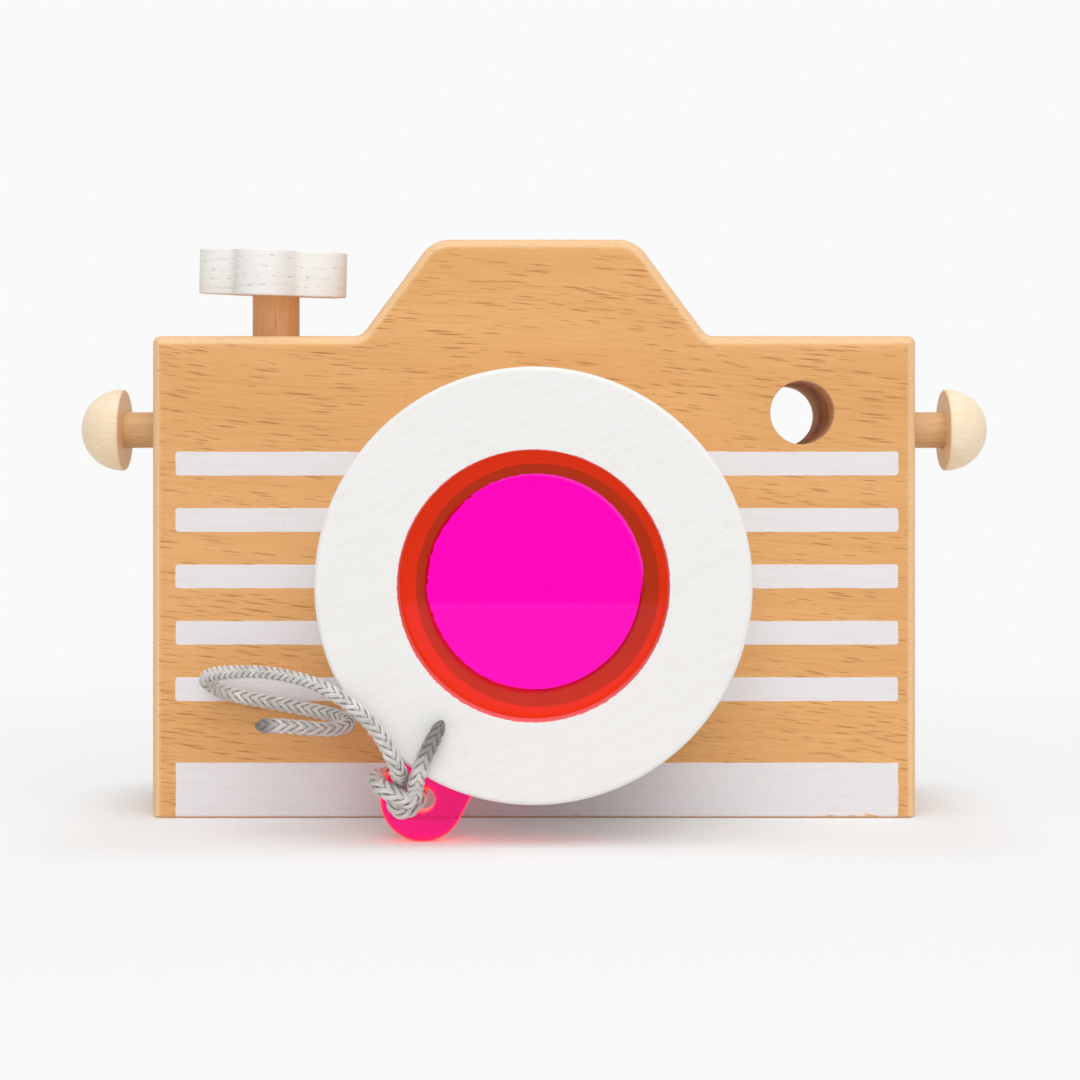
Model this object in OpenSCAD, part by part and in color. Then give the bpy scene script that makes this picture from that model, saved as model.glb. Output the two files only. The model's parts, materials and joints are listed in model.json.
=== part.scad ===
// Wooden toy camera with a turning kaleidoscope lens, a pull-out colour filter and a winder.
// Millimetres. The origin is the middle of the body's base, +Z is up and the lens faces -Y.

/* [Body] */
// Width of the wooden body
body_w = 120; // [112:1:140]
// Height of the body up to its shoulders
body_h = 75.6; // [72:0.2:90]
// Thickness of the body from front to back
body_t = 25; // [22:0.5:34]
// Round-over of the front and back edges
edge_r = 2.2; // [1:0.1:3.2]
// Radius of the body's corners in the front view
corner_r = 1.2; // [0.6:0.1:2.5]
// Height of the hump above the shoulders
hump_h = 15.2; // [10:0.2:22]
// Width of the hump at the shoulders
hump_base_w = 54.4; // [46:0.2:58]
// Width of the hump across its top, between the sharp corners
hump_top_w = 31.8; // [24:0.2:40]
// Radius of the hump's top corners
hump_corner_r = 5.5; // [2:0.1:7]

/* [Viewfinder] */
// Diameter of the viewfinder hole
finder_d = 10; // [6:0.2:12]
// Distance of the viewfinder's centre from the body's side
finder_inset = 18; // [16:0.5:22]
// Depth of the viewfinder's centre below the shoulders
finder_drop = 12.1; // [9.5:0.1:17.5]

/* [Strap pegs] */
// Depth of the strap pegs below the shoulders
peg_drop = 14.6; // [9.5:0.1:17.5]
// Diameter of a peg's shank
peg_shank_d = 5.8; // [4:0.1:7]
// Gap for a strap between the body and a peg's head
peg_gap = 6.5; // [4:0.1:9]
// Diameter of a peg's domed head
peg_head_d = 13.2; // [11:0.1:16]
// Height of a peg's dome
peg_head_h = 7; // [5:0.1:9]
// Depth of the right peg in the body
peg_tenon = 10; // [6:0.5:11]

/* [Winder] */
// Distance of the winder's axis from the body's side
winder_inset = 18; // [16:0.5:20]
// Diameter of the winder's stem
stem_d = 7.6; // [6.6:0.1:9]
// Length of stem that shows between the shoulder and the wheel
stem_show = 7.2; // [4:0.1:10]
// Depth of the stem's end in the wheel
stem_seat = 5; // [3:0.1:6]
// Diameter of the groove in which the left peg's end keeps the stem
groove_d = 4.6; // [3.6:0.1:5.6]
// Length of the stem's foot below its groove
stem_foot = 4.7; // [3:0.1:8]
// Thickness of the petal wheel
wheel_t = 7.2; // [6.5:0.1:10]
// Number of petals on the wheel
petals = 5; // [5:1:6]
// Radius of one petal
petal_r = 4.8; // [4.6:0.1:5.4]
// Distance of the petals' centres from the wheel's axis
petal_reach = 7.7; // [7:0.1:8.2]
// Lean of the wheel on its stem, in degrees
wheel_lean = 1.8; // [0:0.1:2.5]
// Turn of the wheel at rest, from one petal straight ahead, in degrees
wheel_turn = -6; // [-36:1:36]

/* [Lens barrel] */
// Height of the lens axis above the base
lens_z = 37.8; // [36.5:0.1:40]
// Width of the wood left round the filter's slot, out to the barrel's edge
guide_w = 8.4; // [6.5:0.1:9.5]
// Length of the barrel in front of the body
barrel_len = 16.8; // [12:0.1:24]
// Diameter of the tenon on which the lens turns in the body
tenon_d = 46; // [40:0.1:48]
// Wall of the tenon round the barrel's bore
tenon_wall = 3; // [2.5:0.1:5]
// Width of the barrel's ledge in front of the faceted lens
seat_w = 3.9; // [2.5:0.1:5]
// Widening of the ledge's opening towards the filter
seat_flare = 1.9; // [0:0.1:2.4]
// Thickness of the front ring
front_ring_t = 4.5; // [3:0.1:7]
// Overlap of the front ring on the filter's edge
filter_lap = 3.4; // [2:0.1:5]
// Chamfer on the front ring's outer edge
ring_chamfer = 0.6; // [0.2:0.1:1.2]

/* [Colour filter] */
// Diameter of the colour filter's disc
filter_d = 46; // [43:0.1:50]
// Thickness of the acrylic sheet
filter_t = 3; // [2:0.1:4]
// Width of the filter's tab
tab_w = 12.4; // [11:0.1:14]
// Distance of the tab's hole outside the front ring's edge
tab_show = 3.85; // [3.35:0.05:6.35]
// Diameter of the tab's cord hole
tab_hole_d = 3.6; // [3.6:0.1:4.2]

/* [Kaleidoscope lens] */
// Thickness of the faceted lens at its rim
rim_t = 4; // [3:0.1:7]
// Number of facets round the lens's point
inner_facets = 4; // [3:1:6]
// Slope of the facets round the point, in degrees
inner_slope = 7; // [4:0.5:12]
// Number of facets along the rim
outer_facets = 8; // [6:1:12]
// Slope of the facets along the rim, in degrees
outer_slope = 22; // [14:0.5:32]
// Height of the lens's point above its rim
point_h = 3.6; // [2:0.1:5]
// Turn of the facets about the lens axis, in degrees
facet_turn = 30; // [0:1:90]

/* [Eyepiece] */
// Width of the eyepiece ring outside the tenon
eyepiece_lip = 4; // [2.5:0.1:6]
// Thickness of the eyepiece ring
eyepiece_t = 4.7; // [4:0.1:6]
// Depth of the eyepiece ring's socket for the tenon
socket_h = 2.2; // [1.5:0.1:2.6]
// Width of the eyepiece ring's lip inside the barrel's bore
eye_ledge = 1.8; // [1:0.1:5]

/* [Cord] */
// Diameter of the braided cord
cord_d = 2; // [1.6:0.1:2.2]

/* [Clearances] */
// Radial clearance where wood turns in wood
turn_clear = 0.1; // [0.05:0.01:0.2]
// Gap between faces that pass each other
run_gap = 0.25; // [0.15:0.05:0.4]
// Radial room round a glued or pressed piece
glue_clear = 0.05; // [0.02:0.01:0.1]

/* [Hidden] */
$fn = 96;

// Room past a face when it is cut through
cut = 1;
// Steps in a quarter of the round-over
edge_steps = 5;
// Thickness of one layer from which a rounded slab is drawn
layer_t = 0.02;
// Sides of a small corner on a slab
corner_fn = 32;
// Room between the tab's end and what the camera stands on
rest_gap = 0.05;

front_y = -body_t / 2;
back_y = body_t / 2;
finder_x = body_w / 2 - finder_inset;
finder_z = body_h - finder_drop;
peg_z = body_h - peg_drop;
winder_x = body_w / 2 - winder_inset;
wheel_z = body_h + stem_show;
groove_h = peg_shank_d + 3 * run_gap;
stem_foot_z = peg_z - groove_h / 2 - stem_foot;
left_tenon = winder_inset - groove_d / 2 - run_gap;

slot_w = filter_d + 2 * run_gap;
barrel_d = slot_w + 2 * guide_w;
bore_d = tenon_d - 2 * tenon_wall;
view_d = bore_d - 2 * seat_w;
mouth_d = filter_d - 2 * filter_lap;
eyepiece_d = tenon_d + 2 * eyepiece_lip;
eye_d = bore_d - 2 * eye_ledge;
barrel_back_y = front_y - run_gap;
slot_back_y = barrel_back_y - barrel_len;
slot_t = filter_t + 2 * run_gap;
slot_front_y = slot_back_y - slot_t;
filter_back_y = slot_back_y - run_gap;
filter_front_y = filter_back_y - filter_t;

eyepiece_front_y = back_y - eyepiece_t;
pocket_y = eyepiece_front_y - run_gap;
socket_y = eyepiece_front_y + socket_h;
tenon_end_y = socket_y - glue_clear;

// The ledge is deep enough to keep the lens's point clear of the filter.
seat_y = slot_back_y + point_h + 2 * run_gap;
lens_back_y = seat_y + glue_clear + rim_t;
lens_d = bore_d - 2 * glue_clear;
facet_r = view_d / 2 - glue_clear;

// Distance of the tab's hole, and of its round end's centre, from the lens axis
tab_reach = barrel_d / 2 + tab_show;
// The tab swings down until its round end meets the table, or hangs straight down above it.
tab_angle = acos(min(1, (lens_z - tab_w / 2 - rest_gap) / tab_reach));
// Middle of the strip between the tab's hole and its edge, which the cord is knotted round
strip_mid = (tab_hole_d + tab_w) / 4;

// Route of the free cord, from the knot to its sealed end
cord_route = [
    [-19.3, -35.8, 10.3], [-19.6, -38.4, 11.6], [-20.3, -39.2, 13.6], [-22.0, -39.3, 16.6],
    [-24.8, -39.2, 19.7], [-28.5, -38.5, 22.3], [-32.2, -35.8, 23.7], [-36.0, -32.4, 24.3],
    [-40.2, -28.8, 24.5], [-44.2, -25.2, 24.2], [-47.8, -21.6, 23.6], [-50.0, -18.4, 22.7],
    [-50.4, -15.8, 21.5], [-48.8, -14.2, 20.2], [-46.0, -13.9, 19.3], [-42.0, -13.9, 18.5],
    [-37.8, -13.9, 17.7], [-33.6, -14.2, 16.9], [-30.2, -15.6, 16.2], [-28.6, -18.0, 15.7],
    [-29.0, -20.6, 15.3], [-31.4, -22.6, 15.2], [-34.6, -23.8, 15.6], [-38.2, -24.6, 16.0],
    [-41.8, -25.2, 16.1]
];

// Route of the cord's short tail, from the knot to its sealed end
tail_route = [
    [-17.0, -37.0, 8.9], [-16.6, -38.4, 10.4], [-16.0, -39.1, 12.4], [-14.6, -39.1, 15.4],
    [-13.0, -39.0, 18.6]
];

// Route of the knot, from the free cord round the tab's strip to the tail: across the tab, out in
// front of it and along it towards the lens, from the middle of the strip on the tab's front face
knot_route = [
    [-0.5, 3.0, 2.2], [-0.2, 1.9, 1.6], [0.0, 1.15, 0.7], [0.1, 1.1, -0.6], [0.5, 1.1, -1.9],
    [1.4, 1.1, -2.7], [2.5, 1.1, -2.4], [3.2, 0.9, -1.4], [3.45, 0.1, -0.5], [3.45, -1.5, 0.0],
    [3.1, -3.2, 0.1], [1.8, -4.15, 0.0], [0.0, -4.2, 0.0], [-1.8, -4.1, 0.0], [-3.1, -3.2, -0.2],
    [-3.4, -1.5, -0.4], [-3.1, 0.4, -0.6], [-2.3, 2.2, -0.7], [-1.0, 3.2, -0.7], [0.6, 3.35, -0.7],
    [1.9, 3.3, -0.5], [2.6, 3.4, 0.4], [2.4, 3.8, 1.4], [2.15, 4.2, 2.0]
];
cord_sides = 8;

function unit(v) = v / norm(v);
function last(list) = len(list) - 1;

// Direction of a route at each of its points
function tangents(route) = [
    for (i = [0 : last(route)])
        unit(route[min(i + 1, last(route))] - route[max(i - 1, 0)])
];

// Normals carried along a route without twist, each the one before it turned square to the route
function normals(dirs, i = 0, found = []) =
    i == len(dirs) ? found :
    let (before = i == 0 ? cross(dirs[0], [1, 0, 0]) : found[i - 1])
    normals(dirs, i + 1, concat(found, [unit(before - (before * dirs[i]) * dirs[i])]));

// A round tube swept along a route
module tube(route, d) {
    dirs = tangents(route);
    sides = normals(dirs);
    rings = [
        for (i = [0 : last(route)], k = [0 : cord_sides - 1])
            let (a = 360 * k / cord_sides)
            route[i] + d / 2 * (cos(a) * sides[i] + sin(a) * cross(dirs[i], sides[i]))
    ];
    walls = [
        for (i = [0 : last(route) - 1], k = [0 : cord_sides - 1])
            let (a = i * cord_sides + k, b = i * cord_sides + (k + 1) % cord_sides)
            each [[a, a + cord_sides, b], [b, a + cord_sides, b + cord_sides]]
    ];
    end_ring = last(route) * cord_sides;
    polyhedron(rings, concat(
        walls,
        [[for (k = [0 : cord_sides - 1]) k]],
        [[for (k = [cord_sides - 1 : -1 : 0]) end_ring + k]]
    ));
}

// Turns a shape drawn along +Z so that it runs along -Y, towards the front, from y = 0
module forward(y = 0) {
    translate([0, y, 0]) rotate([90, 0, 0]) children();
}

// A cylinder along the lens axis between two depths
module lens_cylinder(d, y_front, y_back) {
    translate([0, 0, lens_z]) forward(y_back) cylinder(d = d, h = y_back - y_front);
}

// Places a flat shape drawn about the lens axis, with its tab towards -Y of the sketch
module in_slot(y_back, t) {
    translate([0, 0, lens_z]) forward(y_back) rotate([0, 0, -tab_angle]) linear_extrude(t) children();
}

// Outline of a four-sided plate, drawn in by inset, with a radius on each pair of corners
module plate_outline(low_w, high_w, z_low, z_high, low_r, high_r, inset) {
    slope = atan2(z_high - z_low, (low_w - high_w) / 2);
    for (side = [-1, 1]) {
        corner(side, low_w / 2, z_low, low_r, slope, inset, 1);
        corner(side, high_w / 2, z_high, high_r, 180 - slope, inset, -1);
    }
}

// One rounded corner of a plate: a circle that touches both sides of the corner, drawn in by inset
module corner(side, x, z, r, angle, inset, up) {
    keep = max(r, inset + layer_t);
    translate([side * (x - keep / tan(angle / 2)), z + up * keep])
        circle(r = keep - inset, $fn = corner_fn);
}

// A plate with rounded corners whose front and back edges are rounded over
module rounded_slab(low_w, high_w, z_low, z_high, low_r, high_r) {
    hull()
        for (face = [-1, 1], i = [0 : edge_steps]) {
            a = 90 * i / edge_steps;
            y = face * (body_t / 2 - edge_r * (1 - sin(a)) - layer_t / 2);
            forward(y + layer_t / 2)
                linear_extrude(layer_t)
                    plate_outline(low_w, high_w, z_low, z_high, low_r, high_r, edge_r * (1 - cos(a)));
        }
}

module body() {
    hump_foot_z = body_h / 2;
    flare = (hump_base_w - hump_top_w) / hump_h;
    color("burlywood") difference() {
        union() {
            rounded_slab(body_w, body_w, 0, body_h, corner_r, corner_r);
            rounded_slab(hump_base_w + flare * (body_h - hump_foot_z), hump_top_w, hump_foot_z,
                body_h + hump_h, corner_r, hump_corner_r);
        }
        lens_cylinder(tenon_d + 2 * turn_clear, front_y - cut, back_y);
        lens_cylinder(eyepiece_d + 2 * run_gap, pocket_y, back_y + cut);
        translate([finder_x, 0, finder_z])
            forward(back_y + cut) cylinder(d = finder_d, h = body_t + 2 * cut);
        translate([-winder_x, 0, stem_foot_z - run_gap])
            cylinder(d = stem_d + 2 * turn_clear, h = body_h);
        peg_bore(-1, left_tenon);
        peg_bore(1, peg_tenon);
    }
}

// Blind hole for a strap peg, on the side given by its sign
module peg_bore(side, depth) {
    translate([side * (body_w / 2 - depth - glue_clear), 0, peg_z])
        rotate([0, side * 90, 0])
            cylinder(d = peg_shank_d + 2 * glue_clear, h = depth + glue_clear + cut);
}

// A turned peg: a dome with a flat back on a straight shank, pointing along +X from the body's side
module strap_peg(tenon) {
    dome_r = (peg_head_d * peg_head_d / 4 + peg_head_h * peg_head_h) / (2 * peg_head_h);
    rotate([0, 90, 0]) {
        translate([0, 0, -tenon]) cylinder(d = peg_shank_d, h = tenon + peg_gap + peg_head_h / 2);
        intersection() {
            translate([0, 0, peg_gap + peg_head_h - dome_r]) sphere(dome_r);
            translate([0, 0, peg_gap]) cylinder(d = peg_head_d, h = peg_head_h + cut);
        }
    }
}

module strap_peg_left() {
    color("wheat") translate([-body_w / 2, 0, peg_z]) mirror([1, 0, 0]) strap_peg(left_tenon);
}

module strap_peg_right() {
    color("wheat") translate([body_w / 2, 0, peg_z]) strap_peg(peg_tenon);
}

module winder_stem() {
    color("peru") translate([-winder_x, 0, 0]) difference() {
        translate([0, 0, stem_foot_z]) cylinder(d = stem_d, h = wheel_z + stem_seat - stem_foot_z);
        translate([0, 0, peg_z - groove_h / 2]) difference() {
            cylinder(d = stem_d + cut, h = groove_h);
            translate([0, 0, -cut]) cylinder(d = groove_d, h = groove_h + 2 * cut);
        }
    }
}

module winder_wheel() {
    color("ivory") translate([-winder_x, 0, wheel_z]) difference() {
        rotate([0, wheel_lean, 0]) linear_extrude(wheel_t) {
            circle(petal_reach);
            for (i = [0 : petals - 1])
                rotate(wheel_turn + 360 * i / petals - 90) translate([petal_reach, 0]) circle(petal_r);
        }
        translate([0, 0, -cut]) cylinder(d = stem_d + 2 * glue_clear, h = stem_seat + cut + glue_clear);
    }
}

module lens_barrel() {
    shoulder = tenon_end_y - barrel_back_y;
    front = tenon_end_y - slot_back_y;
    seat = tenon_end_y - seat_y;
    color("whitesmoke") translate([0, 0, lens_z]) forward(tenon_end_y) rotate_extrude()
        polygon([
            [bore_d / 2, 0], [tenon_d / 2, 0], [tenon_d / 2, shoulder], [barrel_d / 2, shoulder],
            [barrel_d / 2, front], [view_d / 2 + seat_flare, front], [view_d / 2, seat], [bore_d / 2, seat]
        ]);
}

// Spacer between the barrel and the front ring, open where the filter goes in
module filter_guide() {
    color("whitesmoke") in_slot(slot_back_y, slot_t) difference() {
        circle(d = barrel_d);
        circle(d = slot_w);
        translate([-slot_w / 2, -barrel_d]) square([slot_w, barrel_d]);
    }
}

module front_ring() {
    outer = barrel_d / 2;
    color("whitesmoke") translate([0, 0, lens_z]) forward(slot_front_y) rotate_extrude()
        polygon([
            [mouth_d / 2, 0], [outer, 0], [outer, front_ring_t - ring_chamfer],
            [outer - ring_chamfer, front_ring_t], [mouth_d / 2, front_ring_t]
        ]);
}

module colour_filter() {
    color("deeppink", 0.7) in_slot(filter_back_y, filter_t) difference() {
        union() {
            circle(d = filter_d);
            translate([-tab_w / 2, -tab_reach]) square([tab_w, tab_reach]);
            translate([0, -tab_reach]) circle(d = tab_w);
        }
        translate([0, -tab_reach]) circle(d = tab_hole_d);
    }
}

// Cuts away what lies in front of a slope that falls from a height on the lens axis
module slope_cut(height, slope, turn) {
    rotate([0, 0, turn]) translate([0, 0, height]) rotate([0, slope, 0])
        translate([-lens_d, -lens_d, 0]) cube([3 * lens_d, 2 * lens_d, lens_d]);
}

module kaleidoscope_lens() {
    rim_slope_h = rim_t + facet_r * tan(outer_slope);
    color("lightcyan", 0.5) translate([0, 0, lens_z]) forward(lens_back_y) {
        cylinder(d = lens_d, h = rim_t);
        difference() {
            cylinder(r = facet_r, h = rim_t + point_h + cut);
            for (i = [0 : inner_facets - 1])
                slope_cut(rim_t + point_h, inner_slope, facet_turn + 360 * i / inner_facets);
            for (i = [0 : outer_facets - 1])
                slope_cut(rim_slope_h, outer_slope, facet_turn + 360 * i / outer_facets);
        }
    }
}

module eyepiece_ring() {
    color("burlywood") difference() {
        lens_cylinder(eyepiece_d, eyepiece_front_y, back_y);
        lens_cylinder(eye_d, eyepiece_front_y - cut, back_y + cut);
        lens_cylinder(tenon_d + 2 * glue_clear, eyepiece_front_y - cut, socket_y);
    }
}

module pull_cord() {
    color("silver") tube(cord_route, cord_d);
}

module cord_tail() {
    color("silver") tube(tail_route, cord_d);
}

// The cord's loop through the tab's hole and round its edge, tied in front of the tab
module cord_knot() {
    color("silver") translate([0, filter_front_y, lens_z]) rotate([0, tab_angle, 0])
        translate([-strip_mid, 0, -tab_reach])
            tube([for (p = knot_route) [p.x, -p.y, p.z]], cord_d);
}

body();
strap_peg_left();
strap_peg_right();
winder_stem();
winder_wheel();
lens_barrel();
filter_guide();
front_ring();
colour_filter();
kaleidoscope_lens();
eyepiece_ring();
pull_cord();
cord_knot();
cord_tail();
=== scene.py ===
"""Looks of a wooden toy camera, made round its CAD frame.

A beech body with painted stripes, white lens rings, a pink acrylic filter, a faceted lens, turned strap
pegs, a petal winder and a knotted braided cord. Everything is in metres, in the frame of the CAD model.
"""

import json
import math

import bmesh
import bpy
import numpy as np
from bpy.props import FloatProperty, FloatVectorProperty, IntProperty, PointerProperty
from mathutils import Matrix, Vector
from mathutils.geometry import tessellate_polygon


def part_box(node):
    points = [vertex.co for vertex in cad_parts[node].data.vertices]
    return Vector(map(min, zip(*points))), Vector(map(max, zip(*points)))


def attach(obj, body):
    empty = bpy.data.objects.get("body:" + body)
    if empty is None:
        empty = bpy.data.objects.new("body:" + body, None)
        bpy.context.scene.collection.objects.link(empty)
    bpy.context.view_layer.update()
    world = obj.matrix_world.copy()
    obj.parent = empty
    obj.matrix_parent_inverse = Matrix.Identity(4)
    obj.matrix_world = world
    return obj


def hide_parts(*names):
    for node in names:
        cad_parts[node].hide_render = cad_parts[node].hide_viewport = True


bl_info = {
    "name": "Wooden Toy Camera",
    "version": (1, 0, 0),
    "blender": (4, 5, 0),
    "location": "3D View > Sidebar > Toy Camera",
    "description": "Dresses the CAD frame of a wooden toy camera in wood, paint, acrylic and braided cord",
    "category": "Object",
}

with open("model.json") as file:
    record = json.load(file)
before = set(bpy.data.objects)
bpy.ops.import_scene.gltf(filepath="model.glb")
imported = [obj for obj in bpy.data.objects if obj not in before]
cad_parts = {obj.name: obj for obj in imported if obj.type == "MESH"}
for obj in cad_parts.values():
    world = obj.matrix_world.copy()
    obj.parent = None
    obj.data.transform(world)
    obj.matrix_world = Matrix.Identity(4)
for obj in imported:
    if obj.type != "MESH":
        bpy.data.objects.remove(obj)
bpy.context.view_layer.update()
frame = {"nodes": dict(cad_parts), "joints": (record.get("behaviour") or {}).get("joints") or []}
JOINTS = {joint["name"]: joint for joint in frame["joints"]}

MM = 0.001
# Distance of the guard points that keep a flat side's shading flat next to a round-over
GUARD = 0.04 * MM
# Steps of one rounded corner, and of a full turn
ARC_STEPS = 8
TURN_STEPS = 160
# Edges sharper than this many degrees stay crisp
CRISP = 32
# Refractive indices of the acrylic filter, and of the lens, kept low for a clear view out to its rim
ACRYLIC_INDEX = 1.49
VIEW_INDEX = 1.15
# Strength of the white behind the object
WHITE = 0.955

# The free cord from the knot to its sealed end, in millimetres
CORD_ROUTE = [
    [-19.3, -35.8, 10.3], [-19.6, -38.4, 11.6], [-20.3, -39.2, 13.6], [-22.0, -39.3, 16.6],
    [-24.8, -39.2, 19.7], [-28.5, -38.5, 22.3], [-32.2, -35.8, 23.7], [-36.0, -32.4, 24.3],
    [-40.2, -28.8, 24.5], [-44.2, -25.2, 24.2], [-47.8, -21.6, 23.6], [-50.0, -18.4, 22.7],
    [-50.4, -15.8, 21.5], [-48.8, -14.2, 20.2], [-46.0, -13.9, 19.3], [-42.0, -13.9, 18.5],
    [-37.8, -13.9, 17.7], [-33.6, -14.2, 16.9], [-30.2, -15.6, 16.2], [-28.6, -18.0, 15.7],
    [-29.0, -20.6, 15.3], [-31.4, -22.6, 15.2], [-34.6, -23.8, 15.6], [-38.2, -24.6, 16.0],
    [-41.8, -25.2, 16.1],
]
# The cord's short tail from the knot to its sealed end, in millimetres
TAIL_ROUTE = [
    [-17.0, -37.0, 8.9], [-16.6, -38.4, 10.4], [-16.0, -39.1, 12.4], [-14.6, -39.1, 15.4],
    [-13.0, -39.0, 18.6],
]
# The knot, in millimetres: across the tab, out in front of its face and along it towards the lens
KNOT_ROUTE = [
    [-0.5, 3.0, 2.2], [-0.2, 1.9, 1.6], [0.0, 1.15, 0.7], [0.1, 1.1, -0.6], [0.5, 1.1, -1.9],
    [1.4, 1.1, -2.7], [2.5, 1.1, -2.4], [3.2, 0.9, -1.4], [3.45, 0.1, -0.5], [3.45, -1.5, 0.0],
    [3.1, -3.2, 0.1], [1.8, -4.15, 0.0], [0.0, -4.2, 0.0], [-1.8, -4.1, 0.0], [-3.1, -3.2, -0.2],
    [-3.4, -1.5, -0.4], [-3.1, 0.4, -0.6], [-2.3, 2.2, -0.7], [-1.0, 3.2, -0.7], [0.6, 3.35, -0.7],
    [1.9, 3.3, -0.5], [2.6, 3.4, 0.4], [2.4, 3.8, 1.4], [2.15, 4.2, 2.0],
]


def tint(red, green, blue):
    """A linear colour from the 0 to 255 values that a screen shows."""
    values = np.array([red, green, blue]) / 255
    linear = np.where(values <= 0.04045, values / 12.92, ((values + 0.055) / 1.055) ** 2.4)
    return tuple(float(value) for value in linear)


def length(name, description, size):
    """A size in metres, written in millimetres."""
    return FloatProperty(name=name, description=description, default=size * MM, unit="LENGTH", precision=5)


def slant(name, description, degrees):
    """An angle, written in degrees."""
    return FloatProperty(name=name, description=description, default=math.radians(degrees), subtype="ANGLE")


def colour(name, description, red, green, blue):
    """A colour, written as a screen shows it."""
    return FloatVectorProperty(
        name=name, description=description, default=tint(red, green, blue), subtype="COLOR", min=0, max=1
    )


def box(node):
    """Lowest and highest corner of a CAD node, as arrays."""
    low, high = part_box(node)
    return np.array(low), np.array(high)


class ToyCameraSizes(bpy.types.PropertyGroup):
    """Sizes that a maker would change without touching the CAD frame."""

    edge_round: length("Edge round-over", "Radius of the body's front and back edges", 2.2)
    foot_round: length("Foot round-over", "Radius of the body's front and back edges at its foot", 0.6)
    corner_round: length("Corner radius", "Radius of the body's corners in the front view", 1.2)
    hump_height: length("Hump height", "Height of the hump above the shoulders", 15.2)
    hump_base: length("Hump base", "Width of the hump at the shoulders", 54.4)
    hump_top: length("Hump top", "Width of the hump across its top", 31.8)
    hump_round: length("Hump corner", "Radius of the hump's top corners", 5.5)
    hump_foot: length("Hump foot", "Radius of the hollow where the hump meets the shoulders", 2.2)
    finder_bore: length("Viewfinder", "Diameter of the viewfinder hole", 10)
    finder_inset: length("Viewfinder inset", "Distance of the viewfinder from the body's side", 18)
    finder_drop: length("Viewfinder drop", "Depth of the viewfinder below the shoulders", 12.1)
    bore: length("Bore", "Diameter of the body's bore for the lens", 46.2)
    pocket: length("Pocket", "Diameter of the pocket for the eyepiece ring", 54.5)
    tenon: length("Tenon", "Diameter of the barrel's tenon", 46)
    barrel_bore: length("Barrel bore", "Diameter of the barrel's bore", 40)
    seat_width: length("Lens ledge", "Width of the barrel's ledge in front of the faceted lens", 3.9)
    seat_flare: length("Ledge flare", "Widening of the ledge's opening towards the filter", 1.9)
    seat_depth: length("Ledge depth", "Depth of the ledge behind the filter's slot", 4.1)
    mouth: length("Mouth", "Diameter of the front ring's hole", 39.2)
    eye_hole: length("Eye hole", "Diameter of the eyepiece ring's hole", 36.4)
    socket: length("Eyepiece socket", "Depth of the eyepiece ring's socket", 2.2)
    slot_width: length("Filter slot", "Width of the slot in which the filter slides", 46.5)
    filter_disc: length("Filter disc", "Diameter of the filter's disc", 46)
    tab_width: length("Tab width", "Width of the filter's tab", 12.4)
    tab_reach: length("Tab reach", "Distance of the tab's hole from the lens axis", 35.5)
    tab_hole: length("Tab hole", "Diameter of the tab's hole", 3.6)
    acrylic_edge: length("Acrylic edge", "Broken edge of the acrylic sheet", 0.22)
    peg_shank: length("Peg shank", "Diameter of a strap peg's shank", 5.8)
    peg_gap: length("Strap gap", "Gap between the body and a strap peg's head", 6.5)
    stem: length("Winder stem", "Diameter of the winder's stem", 7.6)
    groove: length("Stem groove", "Diameter of the groove that keeps the stem in", 4.6)
    stem_seat: length("Stem seat", "Depth of the stem's end in the wheel", 5)
    petal_radius: length("Petal radius", "Radius of one petal of the wheel", 4.8)
    petal_reach: length("Petal reach", "Distance of the petals' centres from the wheel's axis", 7.7)
    wheel_height: length("Wheel thickness", "Thickness of the petal wheel", 7.2)
    petals: IntProperty(name="Petals", description="Number of petals on the wheel", default=5, min=3)
    wheel_lean: slant("Wheel lean", "Lean of the wheel on its stem", 1.8)
    wheel_nod: slant("Wheel nod", "Lean of the wheel to the front", 4)
    wheel_turn: slant("Wheel turn", "Turn of the wheel at rest", -6)
    cord: length("Cord", "Diameter of the braided cord", 2)
    braid_pitch: length("Braid pitch", "Length in which one strand goes once round the cord", 8.4)


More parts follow.
